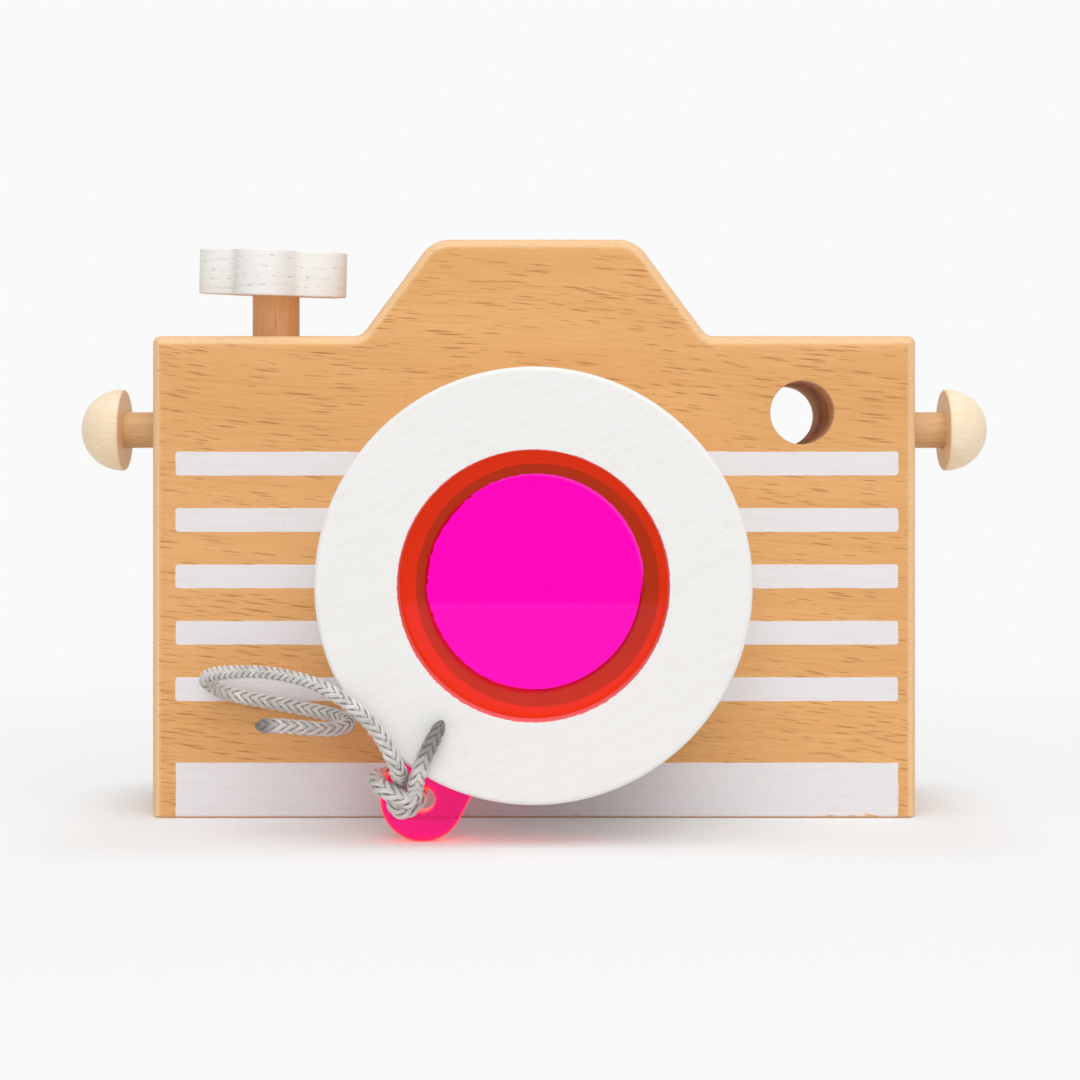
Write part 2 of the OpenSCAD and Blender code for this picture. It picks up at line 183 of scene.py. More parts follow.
class ToyCameraColours(bpy.types.PropertyGroup):
    """Colours of the finishes."""

    beech: colour("Beech", "Light parts of the body's wood", 232, 177, 116)
    beech_dark: colour("Beech bands", "Darker bands of the body's wood", 219, 160, 98)
    beech_fleck: colour("Beech flecks", "Short dark flecks of the body's wood", 163, 104, 54)
    # The pale round-overs are partly sanded wood and partly a painted highlight of the light on these edges.
    beech_edge: colour("Sanded edges", "Paler wood where the edges were sanded round", 246, 212, 170)
    dowel: colour("Dowel", "Light parts of the winder's stem", 246, 194, 138)
    dowel_dark: colour("Dowel bands", "Darker bands of the winder's stem", 226, 170, 112)
    # The shanks are darker partly as another wood and partly as painted shade under the peg's dome.
    shank: colour("Shank", "Light parts of the strap pegs' shanks", 224, 184, 134)
    shank_dark: colour("Shank bands", "Darker bands of the strap pegs' shanks", 202, 156, 108)
    burnt: colour("Drilled wood", "Wall of the viewfinder, scorched by the drill", 230, 180, 142)
    birch: colour("Birch", "Light parts of the turned pegs", 250, 232, 204)
    birch_dark: colour("Birch bands", "Darker bands of the turned pegs", 240, 212, 172)
    stripe: colour("Stripe paint", "Thin white paint of the stripes", 232, 228, 230)
    ring: colour("Ring paint", "White paint of the lens rings", 238, 237, 235)
    wheel: colour("Wheel paint", "White paint of the winder's wheel", 244, 242, 238)
    grain: colour("Grain in the paint", "Grain that shows through the white paint", 196, 184, 172)
    # The ledge's deep orange is partly bare oiled wood and partly painted light of the pink filter's glow.
    ledge_wood_filter_lit: colour("Ledge wood", "Bare oiled wood of the barrel behind the filter", 226, 142, 32)
    # The mouth's rosy colour is painted light: the filter's red glow on the white paint inside the ring.
    mouth_painted_glow: colour("Mouth paint", "Thin rosy paint inside the front ring", 252, 122, 122)
    acrylic: colour("Acrylic", "Pink acrylic seen against white", 255, 3, 197)
    glow: colour("Edge glow", "Light that leaves the acrylic at its edges", 255, 92, 58)
    cord: colour("Cord", "Grey yarn of the cord", 215, 211, 207)
    cord_dark: colour("Sealed cord", "Melted ends of the cord", 112, 110, 108)


def settings():
    """The two property groups of the scene."""
    scene = bpy.context.scene
    return scene.toy_camera_sizes, scene.toy_camera_colours


# Surfaces


def unit(vectors):
    """Vectors scaled to a length of one."""
    return vectors / np.linalg.norm(vectors, axis=-1, keepdims=True)


def grid_quads(rows, columns, closed_rows=False, closed_columns=False, start=0):
    """Quads of a grid of points: each joins a point, the next one in its row, and the same two one row on.

    A closed direction joins its last points to its first.
    """
    row = np.arange(rows if closed_rows else rows - 1)[:, None]
    column = np.arange(columns if closed_columns else columns - 1)[None, :]
    below, beside = (row + 1) % rows, (column + 1) % columns
    here, there = row * columns, below * columns
    quads = np.stack([here + column, here + beside, there + beside, there + column], -1)
    return start + quads.reshape(-1, 4)


def end_fans(count, steps):
    """Triangles from two poles, the points after count grid points, to the grid's first and last row."""
    step = np.arange(steps)
    beside = (step + 1) % steps
    foot = count - steps
    return [
        np.stack([np.full(steps, count), beside, step], -1),
        np.stack([np.full(steps, count + 1), foot + step, foot + beside], -1),
    ]


def softened(corners, radii, steps=ARC_STEPS):
    """A closed outline whose corners are arcs that touch both of their sides.

    The arc of a corner with a turn of t has its centre radius / cos(t / 2) from the corner, and runs from
    one touching point to the other as a spherical blend of the two radius vectors. A guard point stands
    before and after each arc.
    """
    ahead = unit(np.roll(corners, -1, 0) - corners)
    before = np.roll(ahead, 1, 0)
    turn = np.arccos(np.clip((before * ahead).sum(-1), -1, 1))[:, None]
    radii = np.asarray(radii, float)[:, None]
    reach = radii * np.tan(turn / 2)
    centre = corners + unit(ahead - before) * radii / np.cos(turn / 2)
    start = corners - before * reach - centre
    end = corners + ahead * reach - centre
    share = np.linspace(0, 1, steps + 1)[None, :]
    lead = np.sin((1 - share) * turn) / np.sin(turn)
    trail = np.sin(share * turn) / np.sin(turn)
    arc = centre[:, None] + lead[..., None] * start[:, None] + trail[..., None] * end[:, None]
    first = corners - before * (reach + GUARD)
    last = corners + ahead * (reach + GUARD)
    return np.concatenate([first[:, None], arc, last[:, None]], 1)


def drawn_in(corners, inset):
    """Corners of a counter-clockwise outline whose sides are all moved inwards by inset.

    Each is where its two moved sides meet: the corner plus inset times the sum of both inward normals, over
    one plus their dot product.
    """
    ahead = unit(np.roll(corners, -1, 0) - corners)
    inward = np.stack([-ahead[:, 1], ahead[:, 0]], -1)
    arriving = np.roll(inward, 1, 0)
    return corners + inset * (arriving + inward) / (1 + (arriving * inward).sum(-1, keepdims=True))


def circle(centre, across, up, radius, steps=TURN_STEPS):
    """A loop of points: centre + radius * (cos(a) * across + sin(a) * up)."""
    angle = np.linspace(0, 2 * np.pi, steps, endpoint=False)[:, None]
    return np.asarray(centre) + radius * (np.cos(angle) * np.asarray(across) + np.sin(angle) * np.asarray(up))


def turned(profile, centre, axis, across, ring=False, steps=TURN_STEPS):
    """A turned form: each profile point (radius, along) goes once round the axis.

    A point is centre + along * axis + radius * (cos(a) * across + sin(a) * up). A ring's profile is a closed
    loop; any other starts and ends on the axis, where all its points are one pole.
    """
    axis, across = np.asarray(axis, float), np.asarray(across, float)
    spokes = circle(np.zeros(3), across, np.cross(axis, across), 1, steps)
    rows = profile if ring else profile[1:-1]
    points = np.asarray(centre) + rows[:, None, 1:] * axis + rows[:, None, :1] * spokes[None]
    faces = [grid_quads(len(rows), steps, ring, True)]
    points = points.reshape(-1, 3)
    if not ring:
        faces += end_fans(len(points), steps)
        points = np.vstack([points, np.asarray(centre) + profile[[0, -1], 1:] * axis])
    return points, faces


def solid_profile(corners, radii, steps=ARC_STEPS):
    """Profile of a turned solid: its first and last corner lie on the axis, and the others are softened."""
    arcs = softened(np.array(corners, float), radii, steps)
    return np.vstack([corners[0], arcs[1:-1].reshape(-1, 2), corners[-1]])


def ring_profile(corners, radii, steps=ARC_STEPS):
    """Closed profile of a turned ring with softened corners."""
    return softened(np.array(corners, float), radii, steps).reshape(-1, 2)


def ragged_seat(points, lens, view, front):
    """Moves the points of the lens ledge: its opening is a little off centre and its edge is splintered.

    A point near the edge, at angle a about the lens axis, moves outwards by a sum of sines of a and of four
    bumps exp(-((a - middle) / width)^2). Both moves fade out away from the ledge as
    exp(-(distance / fade)^2).
    """
    off = points - np.array([lens[0], 0, lens[2]])
    radius = np.hypot(off[:, 0], off[:, 2])
    angle = np.arctan2(off[:, 2], off[:, 0])
    edge_fade, mouth_fade, deepest, widest = 0.5 * MM, 1.5 * MM, 4.5 * MM, 3 * MM
    edge = np.exp(-(((radius - view) / edge_fade) ** 2)) * (points[:, 1] < front + deepest)
    mouth = np.exp(-(((points[:, 1] - front) / mouth_fade) ** 2)) * (radius < view + widest)
    fibres = 0.06 * (np.sin(41 * angle + 1) + np.sin(67 * angle) + np.sin(97 * angle + 2))
    upper_left, spread = 2.75, 0.9
    torn = np.exp(-(((np.mod(angle, 2 * np.pi) - upper_left) / spread) ** 2))
    splinters = fibres * (0.35 + torn)
    bumps = ((-3.05, 0.1, 0.5), (-1.48, 0.06, 0.4), (-0.06, 0.05, 0.36), (2.45, 0.25, -0.25))
    for middle, width, height in bumps:
        splinters = splinters + height * np.exp(-(((angle - middle) / width) ** 2))
    moved = points + (edge * splinters * MM / radius)[:, None] * off * np.array([1, 0, 1])
    mouth_shift, edge_shift = np.array([[0.6, 0, -0.3], [0.35, 0, 0]]) * MM
    return moved + (mouth * (1 - edge))[:, None] * mouth_shift + edge[:, None] * edge_shift


def flat_fill(points, loops):
    """Triangles that fill a flat outline, the first loop, round the holes that are the other loops."""
    triangles = tessellate_polygon([[Vector(point) for point in points[loop]] for loop in loops])
    return np.concatenate(loops)[np.array(triangles)]


def join_faces(kinds):
    """All faces as one list of index lists."""
    return [face for faces in kinds for face in np.asarray(faces).tolist()]


def piece(name, points, kinds, materials, body, nodes, flat=(), edge_faces=()):
    """A mesh object at the origin that rides on a CAD body and stands for CAD nodes.

    kinds are arrays of faces. Those whose place in kinds is in flat are shaded flat, and those in edge_faces
    take the second material.
    """
    mesh = bpy.data.meshes.new(name)
    mesh.from_pydata(points.tolist(), [], join_faces(kinds))
    counts = [len(faces) for faces in kinds]
    smooth = np.repeat([place not in flat for place in range(len(kinds))], counts)
    mesh.polygons.foreach_set("use_smooth", smooth)
    chosen = np.repeat([int(place in edge_faces) for place in range(len(kinds))], counts)
    mesh.polygons.foreach_set("material_index", chosen.astype(np.int32))
    for look in materials:
        mesh.materials.append(look)
    shell = bmesh.new()
    shell.from_mesh(mesh)
    bmesh.ops.recalc_face_normals(shell, faces=shell.faces)
    shell.to_mesh(mesh)
    shell.free()
    mesh.set_sharp_from_angle(angle=math.radians(CRISP))
    mesh.update()
    made = bpy.data.objects.new(name, mesh)
    bpy.context.scene.collection.objects.link(made)
    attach(made, body)
    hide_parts(*nodes)
    return made


# Shader nodes


def join(tree, socket, value):
    """Links a socket to another one, or gives it a value. A colour of three numbers becomes opaque."""
    if isinstance(value, bpy.types.NodeSocket):
        tree.links.new(value, socket)
    elif socket.type == "RGBA":
        socket.default_value = (*value, 1)
    else:
        socket.default_value = value


def node(tree, kind, options=None, **inputs):
    """A node with its options set and its inputs joined. An underscore in an input's name is a space."""
    made = tree.nodes.new(kind)
    for name, value in (options or {}).items():
        setattr(made, name, value)
    for name, value in inputs.items():
        join(tree, made.inputs[name.replace("_", " ")], value)
    return made


def maths(tree, operation, *values):
    """Result of a Math node."""
    made = node(tree, "ShaderNodeMath", {"operation": operation})
    for socket, value in zip(made.inputs, values):
        join(tree, socket, value)
    return made.outputs[0]


def ramp(tree, value, low, high, start=0.0, end=1.0):
    """A smooth step of value between low and high, from start to end."""
    made = node(
        tree, "ShaderNodeMapRange", {"interpolation_type": "SMOOTHSTEP"},
        Value=value, From_Min=low, From_Max=high, To_Min=start, To_Max=end,
    )
    return made.outputs["Result"]


def blend(tree, share, first, second, mode="MIX"):
    """Two colours mixed by share."""
    made = node(tree, "ShaderNodeMix", {"data_type": "RGBA", "blend_type": mode})
    for place, value in ((0, share), (6, first), (7, second)):
        join(tree, made.inputs[place], value)
    return made.outputs[2]


def noise(tree, vector, scale, detail=2.0, rough=0.5):
    """A noise value from 0 to 1."""
    made = node(tree, "ShaderNodeTexNoise", Vector=vector, Scale=scale, Detail=detail, Roughness=rough)
    return made.outputs["Fac"]


def stretched(tree, vector, scale, turn=(0, 0, 0), place=(0, 0, 0)):
    """Coordinates moved, turned and scaled for a pattern."""
    made = node(
        tree, "ShaderNodeMapping", {"vector_type": "POINT"},
        Vector=vector, Location=place, Rotation=turn, Scale=scale,
    )
    return made.outputs["Vector"]


def millimetres(tree):
    """The piece's own coordinates in millimetres."""
    source = node(tree, "ShaderNodeTexCoord")
    return stretched(tree, source.outputs["Object"], (1 / MM,) * 3)


def axes(tree, vector):
    """The three parts of a vector."""
    return node(tree, "ShaderNodeSeparateXYZ", Vector=vector).outputs


def distance_from(tree, first, first_centre, second, second_centre):
    """Distance in one plane from an axis, as a square root of a sum of squares."""
    a = maths(tree, "SUBTRACT", first, first_centre)
    b = maths(tree, "SUBTRACT", second, second_centre)
    squares = maths(tree, "ADD", maths(tree, "MULTIPLY", a, a), maths(tree, "MULTIPLY", b, b))
    return maths(tree, "SQRT", squares)


def group(name, inputs, outputs):
    """A shader node group with named sockets: its tree, its inputs and its output node."""
    tree = bpy.data.node_groups.new(name, "ShaderNodeTree")
    for label, kind, default in inputs:
        socket = tree.interface.new_socket(label, in_out="INPUT", socket_type=kind)
        if default is not None:
            socket.default_value = default
    for label, kind in outputs:
        tree.interface.new_socket(label, in_out="OUTPUT", socket_type=kind)
    return tree, tree.nodes.new("NodeGroupInput").outputs, tree.nodes.new("NodeGroupOutput")


def use_group(tree, name, **inputs):
    """Outputs of a node group placed in a material."""
    made = tree.nodes.new("ShaderNodeGroup")
    made.node_tree = bpy.data.node_groups[name]
    for label, value in inputs.items():
        join(tree, made.inputs[label.replace("_", " ")], value)
    return made.outputs


def cell_marks(tree, vector, stretch, rarity):
    """Lens-shaped marks in long flat cells, of random sizes, and weaker where a random value is low.

    Each row of cells slips along X by a share of its height, so that marks don't stand above each other.
    """
    slip = 5.3
    part = axes(tree, vector)
    along = maths(tree, "MULTIPLY_ADD", maths(tree, "ADD", part["Y"], part["Z"]), slip, part["X"])
    slipped = node(tree, "ShaderNodeCombineXYZ", X=along, Y=part["Y"], Z=part["Z"]).outputs[0]
    cells = node(
        tree, "ShaderNodeTexVoronoi", {"feature": "F1"},
        Vector=stretched(tree, slipped, stretch), Scale=1.0, Randomness=0.7,
    )
    random = axes(tree, cells.outputs["Color"])
    size = maths(tree, "ADD", 0.28, maths(tree, "MULTIPLY", random["Y"], 0.22))
    mark = ramp(tree, maths(tree, "DIVIDE", cells.outputs["Distance"], size), 1.0, 0.25)
    return maths(tree, "MULTIPLY", mark, ramp(tree, random["X"], rarity, rarity + 0.5))


def wood_group():
    """Grain that runs along X: broad bands, fine streaks and short lens-shaped flecks.

    The bands and streaks are noise drawn out along the grain. A fleck fills the middle of a long flat cell,
    in those cells whose random value is high enough. Millimetres go in; a colour, a height and the flecks
    come out.
    """
    tree, given, out = group(
        "wood_grain",
        [
            ("Vector", "NodeSocketVector", None),
            ("Light", "NodeSocketColor", None),
            ("Dark", "NodeSocketColor", None),
            ("Fleck", "NodeSocketColor", None),
            ("Fleck Share", "NodeSocketFloat", 0.8),
        ],
        [("Colour", "NodeSocketColor"), ("Height", "NodeSocketFloat"), ("Flecks", "NodeSocketFloat")],
    )
    drift = noise(tree, given["Vector"], 0.02, 1)
    sway = maths(tree, "MULTIPLY", maths(tree, "SUBTRACT", drift, 0.5), 2.6)
    lifted = node(tree, "ShaderNodeCombineXYZ", X=0.0, Y=sway, Z=sway).outputs[0]
    moved = node(tree, "ShaderNodeVectorMath", {"operation": "ADD"})
    join(tree, moved.inputs[0], given["Vector"])
    join(tree, moved.inputs[1], lifted)
    flow = moved.outputs[0]
    bands = ramp(tree, noise(tree, stretched(tree, flow, (0.012, 0.11, 0.11)), 1, 3, 0.6), 0.3, 0.7)
    streaks = noise(tree, stretched(tree, flow, (0.07, 1.6, 2.4)), 1, 4, 0.65)
    long_flecks = cell_marks(tree, flow, (0.16, 1.7, 2.3), 0.3)
    elsewhere = stretched(tree, flow, (1, 1, 1), place=(31, 17, 53))
    short_flecks = cell_marks(tree, elsewhere, (0.26, 2.0, 2.9), 0.5)
    fleck = maths(tree, "MAXIMUM", long_flecks, maths(tree, "MULTIPLY", short_flecks, 0.8))
    fleck = maths(tree, "MULTIPLY", fleck, given["Fleck Share"])
    tone = maths(tree, "ADD", maths(tree, "MULTIPLY", bands, 0.2), maths(tree, "MULTIPLY", streaks, 0.75))
    wood = blend(tree, ramp(tree, tone, 0.22, 0.8), given["Light"], given["Dark"])
    join(tree, out.inputs["Colour"], blend(tree, fleck, wood, given["Fleck"]))
    height = maths(tree, "SUBTRACT", maths(tree, "MULTIPLY", streaks, 0.5), fleck)
    join(tree, out.inputs["Height"], height)
    join(tree, out.inputs["Flecks"], fleck)


def paint_group():
    """Thin paint over grain along X: brush lines, with sunken flecks where the wood shows through.

    Millimetres go in; a colour and a height come out.
    """
    tree, given, out = group(
        "thin_paint",
        [
            ("Vector", "NodeSocketVector", None),
            ("Paint", "NodeSocketColor", None),
            ("Grain", "NodeSocketColor", None),
            ("Share", "NodeSocketFloat", 0.4),
        ],
        [("Colour", "NodeSocketColor"), ("Height", "NodeSocketFloat")],
    )
    lines = noise(tree, stretched(tree, given["Vector"], (0.13, 2.6, 3.2)), 1, 4, 0.7)
    clouds = noise(tree, stretched(tree, given["Vector"], (0.05, 0.12, 0.12)), 1, 2)
    patches = ramp(tree, clouds, 0.42, 0.62)
    cells = node(
        tree, "ShaderNodeTexVoronoi", {"feature": "F1"},
        Vector=stretched(tree, given["Vector"], (0.75, 1.6, 4.2)), Scale=1.0, Randomness=1.0,
    )
    chosen = ramp(tree, axes(tree, cells.outputs["Color"])["X"], 0.35, 0.6)
    fleck = maths(tree, "MULTIPLY", ramp(tree, cells.outputs["Distance"], 0.3, 0.1), chosen)
    fleck = maths(tree, "MULTIPLY", fleck, maths(tree, "MULTIPLY_ADD", patches, 0.65, 0.35))
    worn = maths(tree, "MULTIPLY", ramp(tree, lines, 0.42, 0.8), 0.45)
    share = maths(tree, "MULTIPLY", maths(tree, "MAXIMUM", fleck, worn), given["Share"])
    join(tree, out.inputs["Colour"], blend(tree, share, given["Paint"], given["Grain"]))
    height = maths(tree, "SUBTRACT", maths(tree, "MULTIPLY", lines, -0.35), fleck)
    join(tree, out.inputs["Height"], height)


def material(name, roughness):
    """A new material with its tree and its Principled shader."""
    made = bpy.data.materials.new(name)
    made.use_nodes = True
    tree = made.node_tree
    shader = tree.nodes["Principled BSDF"]
    join(tree, shader.inputs["Roughness"], roughness)
    return made, tree, shader


def bump(tree, shader, height, strength, depth):
    """Height, in metres times depth, as a bump on the shader's normal."""
    made = node(tree, "ShaderNodeBump", Strength=strength, Distance=depth, Height=height)
    join(tree, shader.inputs["Normal"], made.outputs["Normal"])


def stripe_mask(tree, vector):
    """Where the front is painted: five stripes at an even pitch and a wide band at the foot.

    A point is in a stripe where its height is within half a stripe of the nearest stripe's middle, in the
    band where it is below the band's top, and in neither beyond the ends or away from the front face. Noise
    makes the edges uneven. The paint is chipped near the foot and stops just above the table, and the bare
    wood left there also darkens the foot as a painted contact shadow.
    """
    lowest, pitch, half_height, band_top = 20.2, 8.825, 1.86, 8.7
    middle, half_length, front, corner = 0.45, 56.55, -10.9, 0.5
    place = axes(tree, vector)
    waver = maths(tree, "SUBTRACT", noise(tree, vector, 0.22, 4, 0.6), 0.5)
    height = maths(tree, "ADD", place["Z"], maths(tree, "MULTIPLY", waver, 0.32))
    steps = maths(tree, "ROUND", maths(tree, "DIVIDE", maths(tree, "SUBTRACT", height, lowest), pitch))
    topmost = 4.0
    nearest = maths(tree, "MINIMUM", maths(tree, "MAXIMUM", steps, 0.0), topmost)
    centre = maths(tree, "ADD", maths(tree, "MULTIPLY", nearest, pitch), lowest)
    off = maths(tree, "ABSOLUTE", maths(tree, "SUBTRACT", height, centre))
    along = maths(tree, "ABSOLUTE", maths(tree, "SUBTRACT", place["X"], middle))
    along = maths(tree, "ADD", along, maths(tree, "MULTIPLY", waver, 0.5))
    past_side = maths(tree, "MAXIMUM", maths(tree, "SUBTRACT", off, half_height - corner), 0.0)
    past_end = maths(tree, "MAXIMUM", maths(tree, "SUBTRACT", along, half_length - corner), 0.0)
    blur = 0.06
    past_corner = distance_from(tree, past_side, 0.0, past_end, 0.0)
    stripe = ramp(tree, past_corner, corner + blur, corner - blur)
    band = ramp(tree, height, band_top + blur, band_top - blur)
    ends = ramp(tree, along, half_length + blur, half_length - blur)
    facing = ramp(tree, place["Y"], front + 0.1, front - 0.1)
    within = maths(tree, "MULTIPLY", ends, facing)
    painted = maths(tree, "MULTIPLY", maths(tree, "MAXIMUM", stripe, band), within)
    chip_noise = noise(tree, vector, 0.5, 4, 0.7)
    near_foot = ramp(tree, place["Z"], 1.3, 0.2)
    at_right = maths(tree, "MULTIPLY", ramp(tree, place["X"], 43.0, 47.0), near_foot)
    chips = ramp(tree, maths(tree, "ADD", chip_noise, maths(tree, "MULTIPLY", at_right, 0.16)), 0.66, 0.7)
    chips = maths(tree, "MULTIPLY", chips, near_foot)
    # Bare wood at the foot, which also paints the contact shadow under the body
    painted = maths(tree, "MULTIPLY", painted, ramp(tree, place["Z"], 0.15, 0.4))
    return maths(tree, "MULTIPLY", painted, maths(tree, "SUBTRACT", 1.0, chips))


def body_material(sizes, colours, high):
    """Oiled beech with the painted front and a burnt viewfinder wall."""
    made, tree, shader = material("beech_striped", 0.5)
    join(tree, shader.inputs["Specular IOR Level"], 0.18)
    vector = millimetres(tree)
    tilted = stretched(tree, vector, (1, 1, 1), (0, math.radians(-4.2), 0))
    wood = use_group(
        tree, "wood_grain", Vector=tilted, Light=colours.beech, Dark=colours.beech_dark,
        Fleck=colours.beech_fleck, Fleck_Share=0.72,
    )
    film = use_group(
        tree, "thin_paint", Vector=vector, Paint=colours.stripe, Grain=colours.grain, Share=0.42
    )
    place = axes(tree, vector)
    finder_x = (high[0] - sizes.finder_inset) / MM
    finder_z = (high[2] - sizes.hump_height - sizes.finder_drop) / MM
    radius = sizes.finder_bore / 2 / MM
    reach = distance_from(tree, place["X"], finder_x, place["Z"], finder_z)
    streaks = noise(tree, stretched(tree, vector, (2.2, 0.25, 2.2)), 1, 3, 0.7)
    drill_marks = noise(tree, stretched(tree, vector, (0.18, 1.1, 0.18)), 1, 4, 0.75)
    burn = ramp(tree, reach, radius + 0.12, radius + 0.02)
    burn = maths(tree, "MULTIPLY", burn, ramp(tree, streaks, 0.15, 0.6, 0.55, 1.0))
    depth = maths(tree, "ABSOLUTE", place["Y"])
    face, round_over = high[1] / MM, sizes.edge_round / MM
    # Paler wood on the round-overs: partly sanding, partly a painted highlight of the light on the edges
    past_face = ramp(tree, depth, face - 0.02, face - 0.3)
    sanded_and_highlit = maths(tree, "MULTIPLY", past_face, ramp(tree, depth, face - round_over - 0.4, face - 0.8))
    sanded_and_highlit = maths(tree, "MULTIPLY", sanded_and_highlit, ramp(tree, streaks, 0.2, 0.7, 0.75, 0.45))
    pale = blend(tree, sanded_and_highlit, wood["Colour"], colours.beech_edge)
    scorched = tuple(value * 0.35 for value in colours.burnt)
    wall_shade = blend(tree, ramp(tree, drill_marks, 0.5, 0.66), colours.burnt, scorched)
    bare = blend(tree, burn, pale, wall_shade)
    painted = stripe_mask(tree, vector)
    join(tree, shader.inputs["Base Color"], blend(tree, painted, bare, film["Colour"]))
    matt = maths(tree, "MAXIMUM", ramp(tree, painted, 0, 1, 0.46, 0.62), burn)
    join(tree, shader.inputs["Roughness"], matt)
    bare_height = maths(tree, "MULTIPLY", wood["Height"], maths(tree, "SUBTRACT", 1.0, painted))
    film_height = maths(tree, "ADD", maths(tree, "MULTIPLY", film["Height"], 0.6), 1.5)
    film_height = maths(tree, "MULTIPLY", film_height, painted)
    bump(tree, shader, maths(tree, "ADD", bare_height, film_height), 0.35, 0.06 * MM)
    return made


def wood_material(name, light, dark, fleck, turn, flecks=0.6, roughness=0.5):
    """Plain wood whose grain is turned to run along the piece."""
    made, tree, shader = material(name, roughness)
    vector = stretched(tree, millimetres(tree), (1, 1, 1), turn)
    wood = use_group(
        tree, "wood_grain", Vector=vector, Light=light, Dark=dark, Fleck=fleck, Fleck_Share=flecks
    )
    join(tree, shader.inputs["Base Color"], wood["Colour"])
    join(tree, shader.inputs["Roughness"], ramp(tree, wood["Flecks"], 0, 1, roughness, roughness + 0.15))
    bump(tree, shader, wood["Height"], 0.3, 0.05 * MM)
    return made


def peg_material(colours, shank_end):
    """Polished birch domes on rougher, darker shanks: partly another wood, partly painted shade under the
    domes.
    """
    made, tree, shader = material("birch_turned", 0.5)
    vector = millimetres(tree)
    dome = use_group(
        tree, "wood_grain", Vector=vector, Light=colours.birch, Dark=colours.birch_dark,
        Fleck=colours.birch_dark, Fleck_Share=0.4,
    )
    shank = use_group(
        tree, "wood_grain", Vector=vector, Light=colours.shank, Dark=colours.shank_dark,
        Fleck=colours.beech_fleck, Fleck_Share=0.4,
    )
    out = maths(tree, "ABSOLUTE", axes(tree, vector)["X"])
    head = ramp(tree, out, shank_end / MM - 0.02, shank_end / MM)
    # The darker shank is partly another wood and partly painted shade under the dome
    join(tree, shader.inputs["Base Color"], blend(tree, head, shank["Colour"], dome["Colour"]))
    join(tree, shader.inputs["Roughness"], ramp(tree, head, 0, 1, 0.65, 0.45))
    bump(tree, shader, dome["Height"], 0.25, 0.04 * MM)
    return made


def ring_material(name, colours, lens, inner_radius, light, dark, front):
    """White paint over grain that rises to the right, with other colours inside a radius and a ragged edge.

    Inside that radius the light colour is on the face at front, and the dark one deeper in as painted shade.
    """
    made, tree, shader = material(name, 0.55)
    vector = millimetres(tree)
    tilted = stretched(tree, vector, (1, 1, 1), (0, math.radians(25), 0))
    film = use_group(
        tree, "thin_paint", Vector=tilted, Paint=colours.ring, Grain=colours.grain, Share=0.34
    )
    place = axes(tree, vector)
    # Deeper in, the darker colour is painted shade of the recess
    recess_shade = ramp(tree, place["Y"], front / MM + 0.05, front / MM + 0.2)
    inside = blend(tree, recess_shade, light, dark)
    bare = use_group(
        tree, "wood_grain", Vector=vector, Light=inside, Dark=inside, Fleck=dark, Fleck_Share=0.3
    )
    reach = distance_from(tree, place["X"], lens[0] / MM, place["Z"], lens[2] / MM)
    chips = ramp(tree, noise(tree, vector, 2.6, 4, 0.7), 0.45, 0.7)
    edge = maths(tree, "MULTIPLY_ADD", chips, 0.16, inner_radius / MM + 0.02)
    painted = ramp(tree, maths(tree, "SUBTRACT", reach, edge), 0.0, 0.05)
    join(tree, shader.inputs["Base Color"], blend(tree, painted, bare["Colour"], film["Colour"]))
    bump(tree, shader, film["Height"], 0.3, 0.05 * MM)
    return made


def wheel_material(colours):
    """White paint on end grain: broken dark lines that run level round the wheel."""
    made, tree, shader = material("white_wheel", 0.6)
    vector = millimetres(tree)
    film = use_group(
        tree, "thin_paint", Vector=vector, Paint=colours.wheel, Grain=colours.grain, Share=0.45
    )
    place = axes(tree, vector)
    waver = noise(tree, stretched(tree, vector, (0.25, 0.25, 0.6)), 1, 3)
    level = maths(tree, "ADD", place["Z"], maths(tree, "MULTIPLY", waver, 1.2))
    wave = maths(tree, "SINE", maths(tree, "MULTIPLY", level, 4.2))
    lines = ramp(tree, wave, 0.55, 1.0)
    specks = ramp(tree, noise(tree, stretched(tree, vector, (1.1, 1.1, 2.4)), 1, 4, 0.75), 0.5, 0.66)
    upright = axes(tree, node(tree, "ShaderNodeTexCoord").outputs["Normal"])["Z"]
    walls = ramp(tree, maths(tree, "ABSOLUTE", upright), 0.85, 0.6)
    marks = maths(tree, "MULTIPLY", maths(tree, "MULTIPLY", lines, specks), walls)
    shaded = blend(tree, maths(tree, "MULTIPLY", marks, 0.55), film["Colour"], tint(150, 142, 130))
    join(tree, shader.inputs["Base Color"], shaded)
    bump(tree, shader, maths(tree, "SUBTRACT", film["Height"], marks), 0.4, 0.06 * MM)
    return made


def pass_light(tree, shader, clear):
    """Lets the lamps' light through a clear shader, tinted by clear, so that what is behind it is lit."""
    path = node(tree, "ShaderNodeLightPath")
    through = node(tree, "ShaderNodeBsdfTransparent", Color=clear)
    mixed = node(tree, "ShaderNodeMixShader")
    join(tree, mixed.inputs[0], path.outputs["Is Shadow Ray"])
    join(tree, mixed.inputs[1], shader.outputs[0])
    join(tree, mixed.inputs[2], through.outputs[0])
    join(tree, tree.nodes["Material Output"].inputs["Surface"], mixed.outputs[0])


def clear_material(name, shade, roughness, through, index=ACRYLIC_INDEX):
    """A clear sheet with faint waves in its polish."""
    made, tree, shader = material(name, roughness)
    for label, value in (("Base Color", shade), ("Transmission Weight", 1.0), ("IOR", index)):
        join(tree, shader.inputs[label], value)
    waves = noise(tree, millimetres(tree), 0.15, 2)
    bump(tree, shader, waves, 0.04, 0.02 * MM)
    pass_light(tree, shader, through)
    return made, tree, shader


